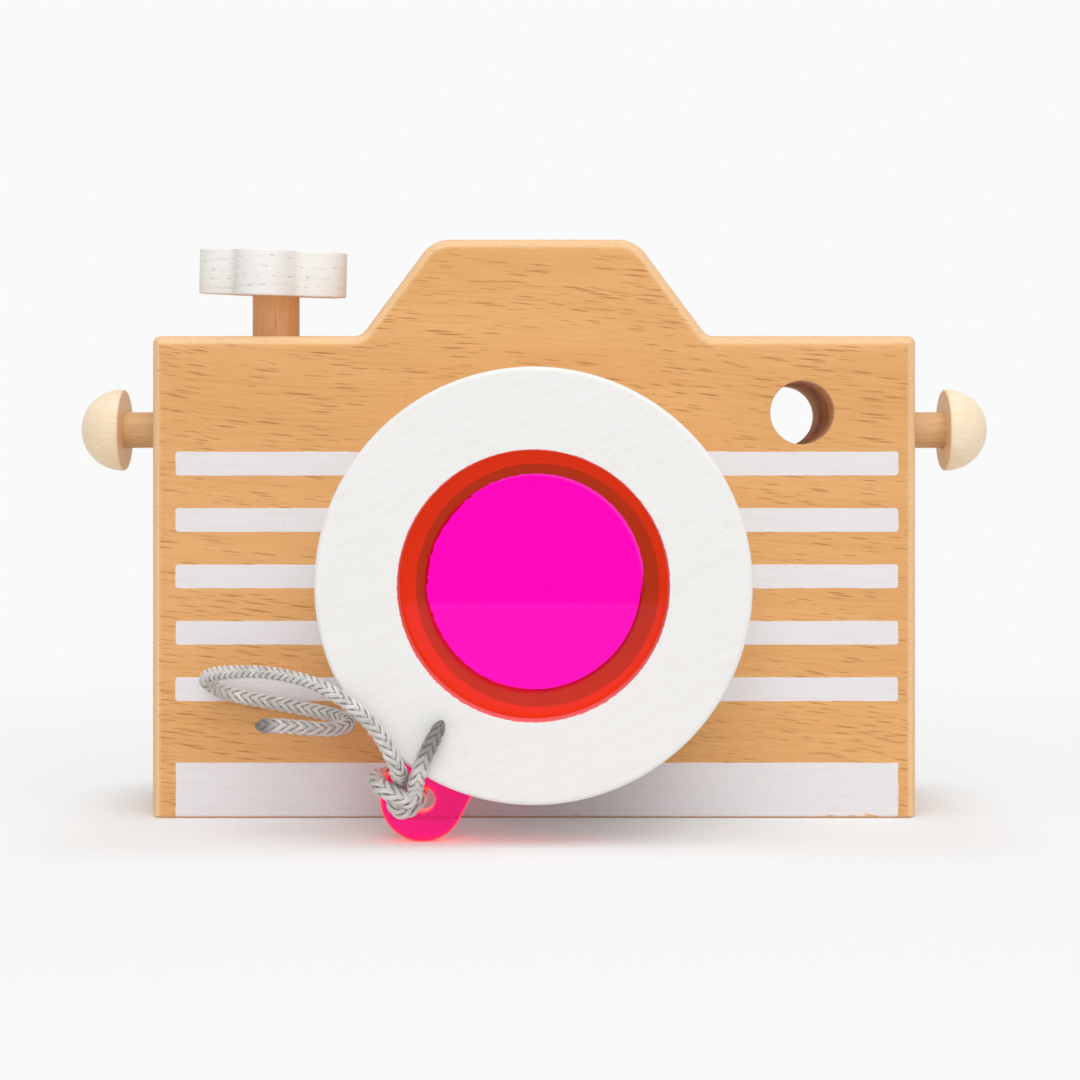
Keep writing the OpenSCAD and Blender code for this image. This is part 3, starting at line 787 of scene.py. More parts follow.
def filter_face_material(colours, lens, sizes):
    """Fluorescent pink sheet: over wood and in its tab it gives back some orange-red light of its own."""
    shade = colours.acrylic
    made, tree, shader = clear_material("pink_acrylic", shade, 0.02, (1.0, 0.2, 0.12))
    place = axes(tree, millimetres(tree))
    reach = distance_from(tree, place["X"], lens[0] / MM, place["Z"], lens[2] / MM)
    view = (sizes.barrel_bore / 2 - sizes.seat_width) / MM
    rim = ramp(tree, reach, view - 0.4, view + 0.1)
    tab = ramp(tree, reach, sizes.filter_disc / 2 / MM, sizes.filter_disc / 2 / MM + 4.0)
    ring_glow = blend(tree, rim, (0.12, 0.0, 0.0), (0.08, 0.03, 0.0))
    join(tree, shader.inputs["Emission Color"], blend(tree, tab, ring_glow, (0.2, 0.01, 0.05)))
    join(tree, shader.inputs["Specular Tint"], (1.0, 0.2, 0.35))
    join(tree, shader.inputs["Emission Strength"], 1.0)
    # The tab's base colour is less blue: painted light for the dimmer light that reaches it from behind
    join(tree, shader.inputs["Base Color"], blend(tree, tab, shade, (shade[0], shade[1], shade[2] * 0.6)))
    return made


def filter_edge_material(colours):
    """Sawn edge of the pink sheet, where its own light leaves it, uneven from the saw."""
    made, tree, shader = clear_material("pink_acrylic_edge", (1.0, 0.12, 0.16), 0.2, (1.0, 0.2, 0.12))
    saw = noise(tree, stretched(tree, millimetres(tree), (0.5, 2.5, 0.5)), 1, 3, 0.6)
    bright, deep = colours.glow, tuple(value * 0.6 for value in colours.glow)
    join(tree, shader.inputs["Emission Color"], blend(tree, saw, deep, bright))
    join(tree, shader.inputs["Emission Strength"], 0.8)
    return made


def cord_material(colours):
    """Braided yarn: fine threads along each strand, painted shade where strands dip into the braid, and dark
    glossy plastic where an end is melted.
    """
    made, tree, shader = material("grey_braid", 0.75)
    uv = node(tree, "ShaderNodeUVMap", {"uv_map": "strand"}).outputs["UV"]
    threads = noise(tree, stretched(tree, uv, (0.6, 26, 1)), 1, 2, 0.6)
    worn = noise(tree, millimetres(tree), 0.35, 2)
    melted = node(tree, "ShaderNodeAttribute", {"attribute_name": "melted"}).outputs["Fac"]
    round_strand = maths(tree, "COSINE", maths(tree, "MULTIPLY", axes(tree, uv)["Y"], 2 * math.pi))
    # Each strand darkens towards its sides: painted shade where it dips into the braid
    painted_crease_shade = ramp(tree, round_strand, 0.7, 0.0)
    tone = maths(tree, "ADD", maths(tree, "MULTIPLY", threads, 0.75), maths(tree, "MULTIPLY", worn, 0.25))
    pale = tuple(min(1.0, value * 1.3) for value in colours.cord)
    deep = tuple(value * 0.6 for value in colours.cord)
    yarn = blend(tree, ramp(tree, tone, 0.3, 0.7), deep, pale)
    shade = tuple(value * 0.2 for value in colours.cord)
    yarn = blend(tree, maths(tree, "MULTIPLY", painted_crease_shade, 0.88), yarn, shade)
    join(tree, shader.inputs["Base Color"], blend(tree, melted, yarn, colours.cord_dark))
    join(tree, shader.inputs["Roughness"], ramp(tree, melted, 0, 1, 0.75, 0.5))
    join(tree, shader.inputs["Sheen Weight"], 0.25)
    bump(tree, shader, threads, 0.6, 0.06 * MM)
    return made


# Pieces


def body_shell(sizes, low, high, shoulder):
    """Outlines of the body from its front to its back, rounded at both edges, and the points at a corner.

    At angle a of the quarter round the outline is drawn in by edge * (1 - sin(a)) and stands
    edge * (1 - cos(a)) behind the face. Along the foot both shrink to foot round / edge, and the lower two
    corners lead over to it.
    """
    base, top = sizes.hump_base / 2, sizes.hump_top / 2
    corners = np.array([
        [low[0], low[2]], [high[0], low[2]], [high[0], shoulder], [base, shoulder], [top, high[2]],
        [-top, high[2]], [-base, shoulder], [low[0], shoulder],
    ])
    plain, foot, crown = sizes.corner_round, sizes.hump_foot, sizes.hump_round
    radii = np.array([plain, plain, plain, foot, crown, crown, foot, plain])
    hollow = np.isin(np.arange(len(corners)), [3, 6])
    edge = sizes.edge_round
    angle = np.linspace(0, np.pi / 2, ARC_STEPS + 1)
    inset, depth = edge * (1 - np.sin(angle)), edge * (1 - np.cos(angle))
    insets = np.concatenate([inset, [0, 0], inset[::-1]])
    places = np.concatenate([
        low[1] + depth, [low[1] + edge + GUARD, high[1] - edge - GUARD], (high[1] - depth)[::-1]
    ])
    least = 0.03 * MM
    rounds = [np.where(hollow, radii + d, np.maximum(radii - d, least)) for d in insets]
    outlines = np.stack([softened(drawn_in(corners, d), r).reshape(-1, 2) for d, r in zip(insets, rounds)])
    rows, columns = outlines.shape[:2]
    behind = np.broadcast_to(places[:, None], (rows, columns))
    points = np.stack([outlines[..., 0], behind, outlines[..., 1]], -1)
    per_corner = columns // len(corners)
    turning = np.linspace(0, 1, per_corner)
    forward, lowered = np.zeros((2, len(corners), per_corner))
    forward[:2] = turning, 1 - turning
    lowered[:2] = 1
    shrink = 1 - sizes.foot_round / edge
    face = np.where(places < 0, low[1], high[1])
    off_face = np.clip(places - face, -edge, edge)
    points[..., 1] -= shrink * off_face[:, None] * forward.ravel()
    points[..., 2] -= shrink * insets[:, None] * lowered.ravel()
    return points, per_corner


def body_surface(sizes, low, high, lens, winder, peg_height):
    """The body: its shell, with flats that are filled round their holes. Each hole is a row of circles."""
    shoulder = high[2] - sizes.hump_height
    shell, per_corner = body_shell(sizes, low, high, shoulder)
    rows, columns = shell.shape[:2]
    points = shell.reshape(-1, 3)
    wall_row = ARC_STEPS + 1
    right_side, left_shoulder, left_side = 1, 6, 7
    bored = {
        right_side: (high[0], "side", 10.05 * MM),
        left_shoulder: (shoulder, "top", 22.85 * MM),
        left_side: (low[0], "side", 13.8 * MM),
    }
    quads = grid_quads(rows, columns, False, True)
    kept = np.ones(len(quads), bool)
    kinds, flats = [], []

    def add_loop(loop):
        """Adds a loop of points and gives their numbers."""
        nonlocal points
        start = len(points)
        points = np.vstack([points, loop])
        return start + np.arange(len(loop))

    def wall(loops):
        """Adds the quads between loops that follow each other."""
        count = len(loops[0])
        step = np.arange(count)
        beside = (step + 1) % count
        for first, second in zip(loops, loops[1:]):
            kinds.append(np.stack([first[step], first[beside], second[beside], second[step]], -1))

    across, up, depthwise = np.eye(3)[0], np.eye(3)[2], np.eye(3)[1]
    small_steps = 48
    for corner, (flat, kind, hole_depth) in bored.items():
        first = corner * per_corner + per_corner - 1
        second = (corner + 1) * per_corner % columns
        kept[wall_row * columns + first] = False
        rim = np.array([
            wall_row * columns + first, wall_row * columns + second,
            (wall_row + 1) * columns + second, (wall_row + 1) * columns + first,
        ])
        if kind == "top":
            mouth = np.array([winder[0], winder[1], flat])
            spokes, inward = (across, depthwise), -up
            radius = sizes.stem / 2 + 0.1 * MM
        else:
            mouth = np.array([flat, 0, peg_height])
            spokes, inward = (depthwise, up), -np.sign(flat) * across
            radius = sizes.peg_shank / 2 + 0.05 * MM
        loop = circle(mouth, *spokes, radius, small_steps)
        opening = add_loop(loop)
        flats.append(flat_fill(points, [rim, opening]))
        floor = add_loop(loop + inward * hole_depth)
        wall([opening, floor])
        flats.append(floor[None, :])

    finder = np.array([high[0] - sizes.finder_inset, 0, shoulder - sizes.finder_drop])
    pocket_floor = box("eyepiece_ring")[0][1] - 0.25 * MM

    def hole_rows(centre, stations, steps):
        """Circles along a hole, one for each depth and radius."""
        return [add_loop(circle(centre + y * depthwise, across, up, radius, steps)) for y, radius in stations]

    lens_axis = np.array([lens[0], 0, lens[2]])
    bore, pocket = sizes.bore / 2, sizes.pocket / 2
    stations = [(low[1], bore), (pocket_floor, bore), (pocket_floor, pocket), (high[1], pocket)]
    bore_loops = hole_rows(lens_axis, stations, TURN_STEPS)
    sight, rim_break = sizes.finder_bore / 2, 0.12 * MM
    wide = sight + rim_break
    stations = [(low[1], wide), (low[1] + rim_break, sight), (high[1] - rim_break, sight), (high[1], wide)]
    finder_loops = hole_rows(finder, stations, TURN_STEPS // 2)
    wall(bore_loops)
    wall(finder_loops)
    front = np.arange(columns)
    back = (rows - 1) * columns + np.arange(columns)
    flats.append(flat_fill(points, [front, bore_loops[0], finder_loops[0]]))
    flats.append(flat_fill(points, [back, bore_loops[-1], finder_loops[-1]]))
    curved = [quads[kept]] + kinds
    return points, curved + flats, range(len(curved), len(curved) + len(flats))


def wheel_surface(sizes, centre, floor):
    """The petal wheel: an outline r(a), drawn in at both rims by a quarter round, with a socket for the stem.

    In the direction of a petal r = reach * cos(b) + sqrt(radius^2 - (reach * sin(b))^2), with b the angle
    from the nearest petal. A circular moving average then rounds the creases between petals. The whole leans
    about Y, then about X.
    """
    steps = 400
    angle = np.linspace(0, 2 * np.pi, steps, endpoint=False)
    pitch = 2 * np.pi / sizes.petals
    off = (angle - sizes.wheel_turn + np.pi / 2 + pitch / 2) % pitch - pitch / 2
    reach, radius = sizes.petal_reach, sizes.petal_radius
    under = np.maximum(radius**2 - (reach * np.sin(off)) ** 2, 0)
    spread = reach * np.cos(off) + np.sqrt(under)
    window = np.hanning(43)
    window /= window.sum()
    half = len(window) // 2
    padded = np.concatenate([spread[-half:], spread, spread[:half]])
    spread = np.convolve(padded, window, "valid")
    rim = 0.25 * MM
    turn = np.linspace(0, np.pi / 2, 5)
    inset, lift = rim * (1 - np.sin(turn)), rim * (1 - np.cos(turn))
    height = sizes.wheel_height
    stem = sizes.stem / 2 + 0.05 * MM
    seat = sizes.stem_seat + 0.05 * MM
    ones = np.ones(steps)
    rows = [(stem * ones, seat), (stem * ones, 0.0), (spread - rim - GUARD, 0.0)]
    rows += [(spread - d, z) for d, z in zip(inset, lift)]
    rows += [(spread - d, height - z) for d, z in zip(inset[::-1], lift[::-1])]
    rows += [(spread - rim - GUARD, height)]
    flat = np.stack([
        np.stack([r * np.cos(angle), r * np.sin(angle), np.full(steps, z)], -1) for r, z in rows
    ]).reshape(-1, 3)
    flat = np.vstack([flat, [[0, 0, seat], [0, 0, height]]])
    lean = sizes.wheel_lean
    tipped = np.stack([
        flat[:, 0] * np.cos(lean) + flat[:, 2] * np.sin(lean), flat[:, 1],
        -flat[:, 0] * np.sin(lean) + flat[:, 2] * np.cos(lean),
    ], -1)
    nod = sizes.wheel_nod
    tipped = np.stack([
        tipped[:, 0], tipped[:, 1] * np.cos(nod) - tipped[:, 2] * np.sin(nod),
        tipped[:, 1] * np.sin(nod) + tipped[:, 2] * np.cos(nod),
    ], -1)
    faces = [grid_quads(len(rows), steps, False, True)] + end_fans(len(rows) * steps, steps)
    return tipped + np.array([centre[0], centre[1], floor]), faces


def slot_frame(slide):
    """Directions of the filter's slot: across it, and out of it along its slide."""
    out = np.array(slide, float)
    return np.array([-out[2], 0, out[0]]), out


def guide_surface(sizes, lens, slide, low, high):
    """The filter's guide: a horseshoe between an outer circle and the slot, one cross-section on each ray.

    On the ray at angle a from straight across, the outer radius is constant, and the inner one is half the
    slot beyond the middle, or half the slot over cos(a) along its straight sides.
    """
    across, out = slot_frame(slide)
    outer = (box("front_ring")[1][0] - box("front_ring")[0][0]) / 2
    half = sizes.slot_width / 2
    tip = math.acos(half / outer) - math.radians(0.6)
    angle = np.linspace(-tip, np.pi + tip, TURN_STEPS)
    inner = np.where(np.sin(angle) < 0, half / np.abs(np.cos(angle)), half)
    rays = np.cos(angle)[:, None] * across - np.sin(angle)[:, None] * out
    depth = np.array([0, 1.0, 0])
    round_outside = np.full(TURN_STEPS, outer)
    corners = [(inner, low), (round_outside, low), (round_outside, high), (inner, high)]
    centre = np.array([lens[0], 0, lens[2]])
    points = np.stack([centre + r[:, None] * rays + y * depth for r, y in corners], 1).reshape(-1, 3)
    last = 4 * (TURN_STEPS - 1)
    caps = np.array([[0, 1, 2, 3], [last + 3, last + 2, last + 1, last]])
    return points, [grid_quads(TURN_STEPS, 4, False, True), caps]


def filter_surface(sizes, lens, slide, low, high):
    """The filter: a disc with a straight tab that ends in a half circle round the cord's hole.

    Seen from the disc's centre, the outline at angle b from the tab's middle is the far side of the end
    circle while the ray meets it, then half the tab's width over sin(b), and the disc's radius once that is
    larger.
    """
    across, out = slot_frame(slide)
    half, reach, disc = sizes.tab_width / 2, sizes.tab_reach, sizes.filter_disc / 2
    side, shoulder = math.atan2(half, reach), math.asin(half / disc)
    angle = np.concatenate([
        np.linspace(0, side, 40, endpoint=False), np.linspace(side, shoulder, 12, endpoint=False),
        np.linspace(shoulder, np.pi, TURN_STEPS // 2, endpoint=False),
    ])
    end = reach * np.cos(angle) + np.sqrt(np.maximum(half**2 - (reach * np.sin(angle)) ** 2, 0))
    straight = half / np.maximum(np.sin(angle), 1e-9)
    radius = np.where(angle < side, end, np.where(angle < shoulder, straight, disc))
    angle = np.concatenate([angle, [np.pi], -angle[:0:-1]])
    radius = np.concatenate([radius, [disc], radius[:0:-1]])
    outline = np.stack([radius * np.sin(angle), radius * np.cos(angle)], -1)
    along = unit(np.roll(outline, -1, 0) - np.roll(outline, 1, 0))
    inward = np.stack([along[:, 1], -along[:, 0]], -1)
    broken = sizes.acrylic_edge
    stations = [(broken, low), (0, low + broken), (0, high - broken), (broken, high)]
    centre = np.array([lens[0], 0, lens[2]])
    depth = np.array([0, 1.0, 0])

    def placed(sketch, y):
        """A flat sketch across and along the slot, set at depth y."""
        return centre + sketch[:, :1] * across + sketch[:, 1:] * out + y * depth

    count = len(outline)
    hole_steps = 48
    hole_centre = np.array([0, reach, 0])
    hole = circle(hole_centre, (1, 0, 0), (0, 1, 0), 1, hole_steps)[:, :2] - hole_centre[:2]
    loops = [placed(outline + inset * inward, y) for inset, y in stations]
    loops += [placed(hole_centre[:2] + (sizes.tab_hole / 2 + inset) * hole, y) for inset, y in stations]
    points = np.vstack(loops)
    edge = grid_quads(4, count, False, True)
    bore = grid_quads(4, hole_steps, False, True, 4 * count)
    rims = np.arange(4 * count).reshape(4, count)
    mouths = 4 * count + np.arange(4 * hole_steps).reshape(4, hole_steps)
    faces = [flat_fill(points, [rims[station], mouths[station]]) for station in (0, 3)]
    return points, faces + [edge, bore]


def smooth_route(route, spacing):
    """A Catmull-Rom curve through the route's points, with points at an even spacing."""
    route = np.asarray(route, float)
    padded = np.vstack([2 * route[0] - route[1], route, 2 * route[-1] - route[-2]])
    p0, p1, p2, p3 = (padded[i : len(padded) - 3 + i, None] for i in range(4))
    t = np.linspace(0, 1, 40, endpoint=False)[None, :, None]
    curve = 0.5 * (
        2 * p1 + (p2 - p0) * t + (2 * p0 - 5 * p1 + 4 * p2 - p3) * t**2 + (3 * p1 - p0 - 3 * p2 + p3) * t**3
    )
    curve = np.vstack([curve.reshape(-1, 3), route[-1]])
    run = np.concatenate([[0], np.cumsum(np.linalg.norm(np.diff(curve, axis=0), axis=1))])
    even = np.linspace(0, run[-1], int(run[-1] / spacing) + 1)
    return np.stack([np.interp(even, run, curve[:, axis]) for axis in range(3)], -1)


def fronted_normals(line, front, window):
    """Tangents of a line, and normals that lean to the front.

    The raw normal is the part of the front direction across the line. A moving average over a window of
    points, weighted by each raw normal's own length, keeps it from turning quickly where the line itself
    heads forwards.
    """
    tangents = unit(np.gradient(line, axis=0))
    front = np.asarray(front, float)
    raw = front - (tangents @ front)[:, None] * tangents
    weights = np.hanning(window)
    padded = np.pad(raw, ((window // 2, window // 2), (0, 0)), "edge")
    averaged = np.stack([np.convolve(padded[:, axis], weights, "valid") for axis in range(3)], -1)
    return tangents, unit(averaged - (averaged * tangents).sum(-1, keepdims=True) * tangents)


def braid_surface(line, tangents, normals, run, sizes, swell):
    """Twelve strands round a line, six each way, whose crossings stand in columns of chevrons.

    A strand at run s has the angle a = +-2 pi s / pitch + a sixth of a turn for each strand. Its radius from
    the line is middle +- wave * sin(2 a), so that one way lies on top in two columns out of four, and the
    other way in the rest. Its section is an ellipse, flat on the cord. swell scales the whole braid along the
    line.
    """
    sides, ways = 8, 6
    outer = sizes.cord / 2
    thick, wide, wave = 0.3 * outer, 0.31 * outer, 0.18 * outer
    middle = outer - thick - wave
    way = np.repeat([1.0, -1.0], ways)[:, None]
    start = np.tile(np.arange(ways) * 2 * np.pi / ways, 2)[:, None]
    angle = way * 2 * np.pi * run[None] / sizes.braid_pitch + start
    radius = (middle + way * wave * np.sin(2 * angle)) * swell[None]
    binormals = np.cross(tangents, normals)
    outward = np.cos(angle)[..., None] * normals[None] + np.sin(angle)[..., None] * binormals[None]
    strand = line[None] + radius[..., None] * outward
    heading = unit(np.gradient(strand, axis=1))
    rise = unit(outward - (outward * heading).sum(-1, keepdims=True) * heading)
    flat = np.cross(heading, rise)
    turn = np.linspace(0, 2 * np.pi, sides, endpoint=False)
    section = swell[None, :, None, None]
    points = strand[:, :, None] + section * (
        thick * np.cos(turn)[None, None, :, None] * rise[:, :, None]
        + wide * np.sin(turn)[None, None, :, None] * flat[:, :, None]
    )
    rows = len(line)
    per_strand = rows * sides
    quads = grid_quads(rows, sides, False, True)
    offsets = (np.arange(2 * ways) * per_strand)[:, None, None]
    ring = np.arange(sides)[None]
    caps = np.concatenate([offsets[:, 0] + ring, offsets[:, 0] + per_strand - sides + ring[:, ::-1]])
    return points.reshape(-1, 3), (offsets + quads[None]).reshape(-1, 4), caps, sides


def braid_piece(name, line, tangents, normals, run, sizes, swell, melted, look, nodes):
    """A braided stretch of cord, with its strands' own map and the share by which its yarn is melted."""
    points, quads, caps, sides = braid_surface(line, tangents, normals, run, sizes, swell)
    made = piece(name, points, [quads, caps], [look], "filter", nodes)
    mesh = made.data
    rows = len(line)
    strands = len(points) // (rows * sides)
    share = np.tile(np.repeat(melted, sides), strands)
    mesh.attributes.new("melted", "FLOAT", "POINT").data.foreach_set("value", share.astype(np.float32))
    corner_points = np.zeros(len(mesh.loops), np.int64)
    mesh.loops.foreach_get("vertex_index", corner_points)
    starts = np.zeros(len(mesh.polygons), np.int64)
    totals = np.zeros(len(mesh.polygons), np.int64)
    mesh.polygons.foreach_get("loop_start", starts)
    mesh.polygons.foreach_get("loop_total", totals)
    side = corner_points % sides
    along = run[(corner_points // sides) % rows] / MM
    face = np.repeat(np.arange(len(totals)), totals)
    has_seam = np.maximum.reduceat(side, starts)[face] - np.minimum.reduceat(side, starts)[face] > sides // 2
    side = np.where(has_seam & (side == 0), sides, side) / sides
    layer = mesh.uv_layers.new(name="strand")
    layer.data.foreach_set("uv", np.stack([along, side], -1).ravel().astype(np.float32))
    return made


# Operators


class TOYCAM_OT_stage(bpy.types.Operator):
    """Make the camera, the lamps, the white surroundings and the table"""

    bl_idname = "toy_camera.stage"
    bl_label = "Stage"

    def execute(self, context):
        """A level camera in front, two soft lamps, and a table that fades into the white behind it."""
        scene = bpy.context.scene
        scene.view_settings.view_transform = "Standard"
        eye = bpy.data.cameras.new("eye")
        eye.lens, eye.sensor_width, eye.shift_y = 66.667, 36, -0.0648
        viewer = bpy.data.objects.new("eye", eye)
        viewer.location = (0.94 * MM, -325.5 * MM, 54.5 * MM)
        viewer.rotation_euler = (math.pi / 2, 0, 0)
        scene.collection.objects.link(viewer)
        scene.camera = viewer
        for name, place, aim, size, power in (
            ("top_softbox", (0.06, -0.35, 0.9), (0, 0, 0.03), 0.9, 4.95),
            ("front_softbox", (0.05, -1.0, 0.45), (0, 0, 0.04), 0.8, 2.7),
        ):
            lamp = bpy.data.lights.new(name, "AREA")
            lamp.shape, lamp.size, lamp.energy = "SQUARE", size, power
            stand = bpy.data.objects.new(name, lamp)
            stand.location = place
            stand.rotation_euler = (Vector(aim) - Vector(place)).to_track_quat("-Z", "Y").to_euler()
            scene.collection.objects.link(stand)
        self.surroundings(scene)
        self.table(scene)
        return {"FINISHED"}

    def surroundings(self, scene):
        """White where the camera, gloss or glass looks, a plain fill light elsewhere, a dim room in front.

        Only gloss shows that room, as it lies behind the camera.
        """
        world = bpy.data.worlds.new("white_surroundings")
        scene.world = world
        world.use_nodes = True
        tree = world.node_tree
        fill, room = 0.5, 0.25
        strength = ramp(tree, self.seen(tree), 0, 1, fill, WHITE)
        heading = axes(tree, node(tree, "ShaderNodeTexCoord").outputs["Generated"])["Y"]
        gloss = node(tree, "ShaderNodeLightPath").outputs["Is Glossy Ray"]
        dimmed = maths(tree, "MULTIPLY", gloss, ramp(tree, heading, -0.05, -0.2, 0.0, WHITE - room))
        join(tree, tree.nodes["Background"].inputs["Strength"], maths(tree, "SUBTRACT", strength, dimmed))
        join(tree, tree.nodes["Background"].inputs["Color"], (1.0, 1.0, 1.0))

    @staticmethod
    def seen(tree):
        """One for rays from the camera, off gloss or through glass, and nought for the rest."""
        path = node(tree, "ShaderNodeLightPath").outputs
        either = maths(tree, "MAXIMUM", path["Is Camera Ray"], path["Is Glossy Ray"])
        return maths(tree, "MAXIMUM", either, path["Is Transmission Ray"])

    def table(self, scene):
        """A wide flat table: lit near the object, and as white as the surroundings further away."""
        reach, front = 4.0, -0.56
        mesh = bpy.data.meshes.new("table")
        corners = [(-reach, front, 0), (reach, front, 0), (reach, reach, 0), (-reach, reach, 0)]
        mesh.from_pydata(corners, [], [(0, 1, 2, 3)])
        floor = bpy.data.objects.new("table", mesh)
        scene.collection.objects.link(floor)
        made, tree, shader = material("table_white", 0.9)
        mesh.materials.append(made)
        join(tree, shader.inputs["Base Color"], (0.86, 0.86, 0.86))
        join(tree, shader.inputs["Specular IOR Level"], 0.0)
        place = axes(tree, millimetres(tree))
        half_width, half_depth, forward = 60.0, 22.0, 10.0
        beside = maths(tree, "SUBTRACT", maths(tree, "ABSOLUTE", place["X"]), half_width)
        beside = maths(tree, "MAXIMUM", beside, 0.0)
        past = maths(tree, "ABSOLUTE", maths(tree, "ADD", place["Y"], forward))
        past = maths(tree, "MAXIMUM", maths(tree, "SUBTRACT", past, half_depth), 0.0)
        away = distance_from(tree, beside, 0.0, past, 0.0)
        near, far = ramp(tree, away, 0.0, 20.0, 0.12, 0.72), ramp(tree, away, 15.0, 250.0, 0.0, 0.28)
        share = maths(tree, "MULTIPLY", maths(tree, "ADD", near, far), self.seen(tree))
        white = node(tree, "ShaderNodeEmission", Color=(1.0, 1.0, 1.0), Strength=WHITE)
        mixed = node(tree, "ShaderNodeMixShader")
        join(tree, mixed.inputs[0], share)
        join(tree, mixed.inputs[1], shader.outputs[0])
        join(tree, mixed.inputs[2], white.outputs[0])
        join(tree, tree.nodes["Material Output"].inputs["Surface"], mixed.outputs[0])


class TOYCAM_OT_cord(bpy.types.Operator):
    """Braid the pull cord, its knot and its tail"""

    bl_idname = "toy_camera.cord"
    bl_label = "Pull cord"

    def execute(self, context):
        """One braid from the tail's end through the knot to the free end, parted where it leaves the knot."""
        sizes, colours = settings()
        look = cord_material(colours)
        spacing = 0.16 * MM
        knot = self.placed_knot(sizes)
        free = MM * np.array(CORD_ROUTE)
        tied = np.vstack([MM * np.array(TAIL_ROUTE)[::-1], knot[::-1][1:-1], free[:1]])
        tied_line, free_line = smooth_route(tied, spacing), smooth_route(free, spacing)
        line = np.vstack([tied_line, free_line[1:]])
        parting = len(tied_line) - 1
        run = np.concatenate([[0], np.cumsum(np.linalg.norm(np.diff(line, axis=0), axis=1))])
        tangents, normals = fronted_normals(line, (0.25, -1.0, 0.35), 31)
        left = run[-1] - run
        tail_tip = np.clip(run / (0.9 * MM), 0, 1)
        free_tip = np.clip(left / (1.1 * MM), 0, 1)
        leaving = run[parting] / MM
        tail_width = np.interp(
            run / MM,
            [0, 1.0, 3.5, 9.0, 13.0, leaving - 4, leaving, leaving + 7, leaving + 16, leaving + 28],
            [0.85, 1.1, 1.28, 1.26, 1.38, 1.38, 1.36, 1.28, 1.15, 1.02],
        )
        free_width = np.interp(left / MM, [0, 45, 58], [1.22, 1.22, 1.0])
        ends = np.sqrt(np.maximum(tail_tip, 0.05)) * np.sqrt(np.maximum(free_tip, 0.08))
        swell = ends * tail_width * free_width
        tail_melt = np.interp(run / MM, [0, 1.2, 5.5, 7.5], [1, 0.9, 0.7, 0])
        free_melt = np.interp(left / MM, [0, 1.5, 3.5], [1, 0.8, 0])
        melted = np.maximum(tail_melt, free_melt)
        for name, rows, nodes in (
            ("cord_knot_braid", slice(0, parting + 1), ("cord_knot", "cord_tail")),
            ("pull_cord_braid", slice(parting, None), ("pull_cord",)),
        ):
            braid_piece(
                name, line[rows], tangents[rows], normals[rows], run[rows], sizes, swell[rows],
                melted[rows], look, nodes,
            )
        return {"FINISHED"}

    @staticmethod
    def placed_knot(sizes):
        """The knot's route set on the strip between the tab's hole and its edge, in front of the tab."""
        lens = np.array(JOINTS["lens_turn"]["pos_m"])
        across, out = slot_frame(JOINTS["filter_slide"]["axis"])
        strip = (sizes.tab_hole + sizes.tab_width) / 4
        face = box("colour_filter")[0][1]
        route = MM * np.array(KNOT_ROUTE)
        centre = np.array([lens[0], face, lens[2]]) + out * sizes.tab_reach - across * strip
        return centre + route[:, :1] * across - route[:, 1:2] * np.array([0, 1.0, 0]) - route[:, 2:] * out


class TOYCAM_OT_body(bpy.types.Operator):
    """Shape the beech body with its painted stripes"""

    bl_idname = "toy_camera.body"
    bl_label = "Body"

    def execute(self, context):
        """The body round the lens, the winder and the pegs that the frame gives."""
        sizes, colours = settings()
        low, high = box("body")
        peg_low, peg_high = box("strap_peg_right")
        winder = JOINTS["winder_turn"]["pos_m"]
        points, kinds, flat = body_surface(
            sizes, low, high, JOINTS["lens_turn"]["pos_m"], winder, (peg_low[2] + peg_high[2]) / 2
        )
        look = body_material(sizes, colours, high)
        piece("beech_body", points, kinds, [look], "camera_body", ["body"], flat)
        return {"FINISHED"}


class TOYCAM_OT_pegs(bpy.types.Operator):
    """Turn the two strap pegs"""

    bl_idname = "toy_camera.pegs"
    bl_label = "Strap pegs"

    def execute(self, context):
        """A shank with a domed head on each side, pointing away from the body."""
        sizes, colours = settings()
        body_low, body_high = box("body")
        look = peg_material(colours, body_high[0] + sizes.peg_gap)
        for side, sign in (("left", -1), ("right", 1)):
            low, high = box("strap_peg_" + side)
            wall = body_low[0] if sign < 0 else body_high[0]
            tip = low[0] if sign < 0 else high[0]
            root = high[0] if sign < 0 else low[0]
            head = (high[2] - low[2]) / 2
            shank, gap = sizes.peg_shank / 2, sizes.peg_gap
            end, foot = abs(tip - wall), -abs(root - wall)
            corners = [[0, foot], [shank, foot], [shank, gap], [head, gap], [head, end], [0, end]]
            dome = min(head, end - gap) - 0.02 * MM
            profile = solid_profile(corners, [0, 0.3 * MM, 0.25 * MM, 0.35 * MM, dome, 0], 20)
            centre = (wall, 0, (low[2] + high[2]) / 2)
            points, kinds = turned(profile, centre, (sign, 0, 0), (0, 1, 0), steps=96)
            piece("birch_peg_" + side, points, kinds, [look], "camera_body", ["strap_peg_" + side])
        return {"FINISHED"}


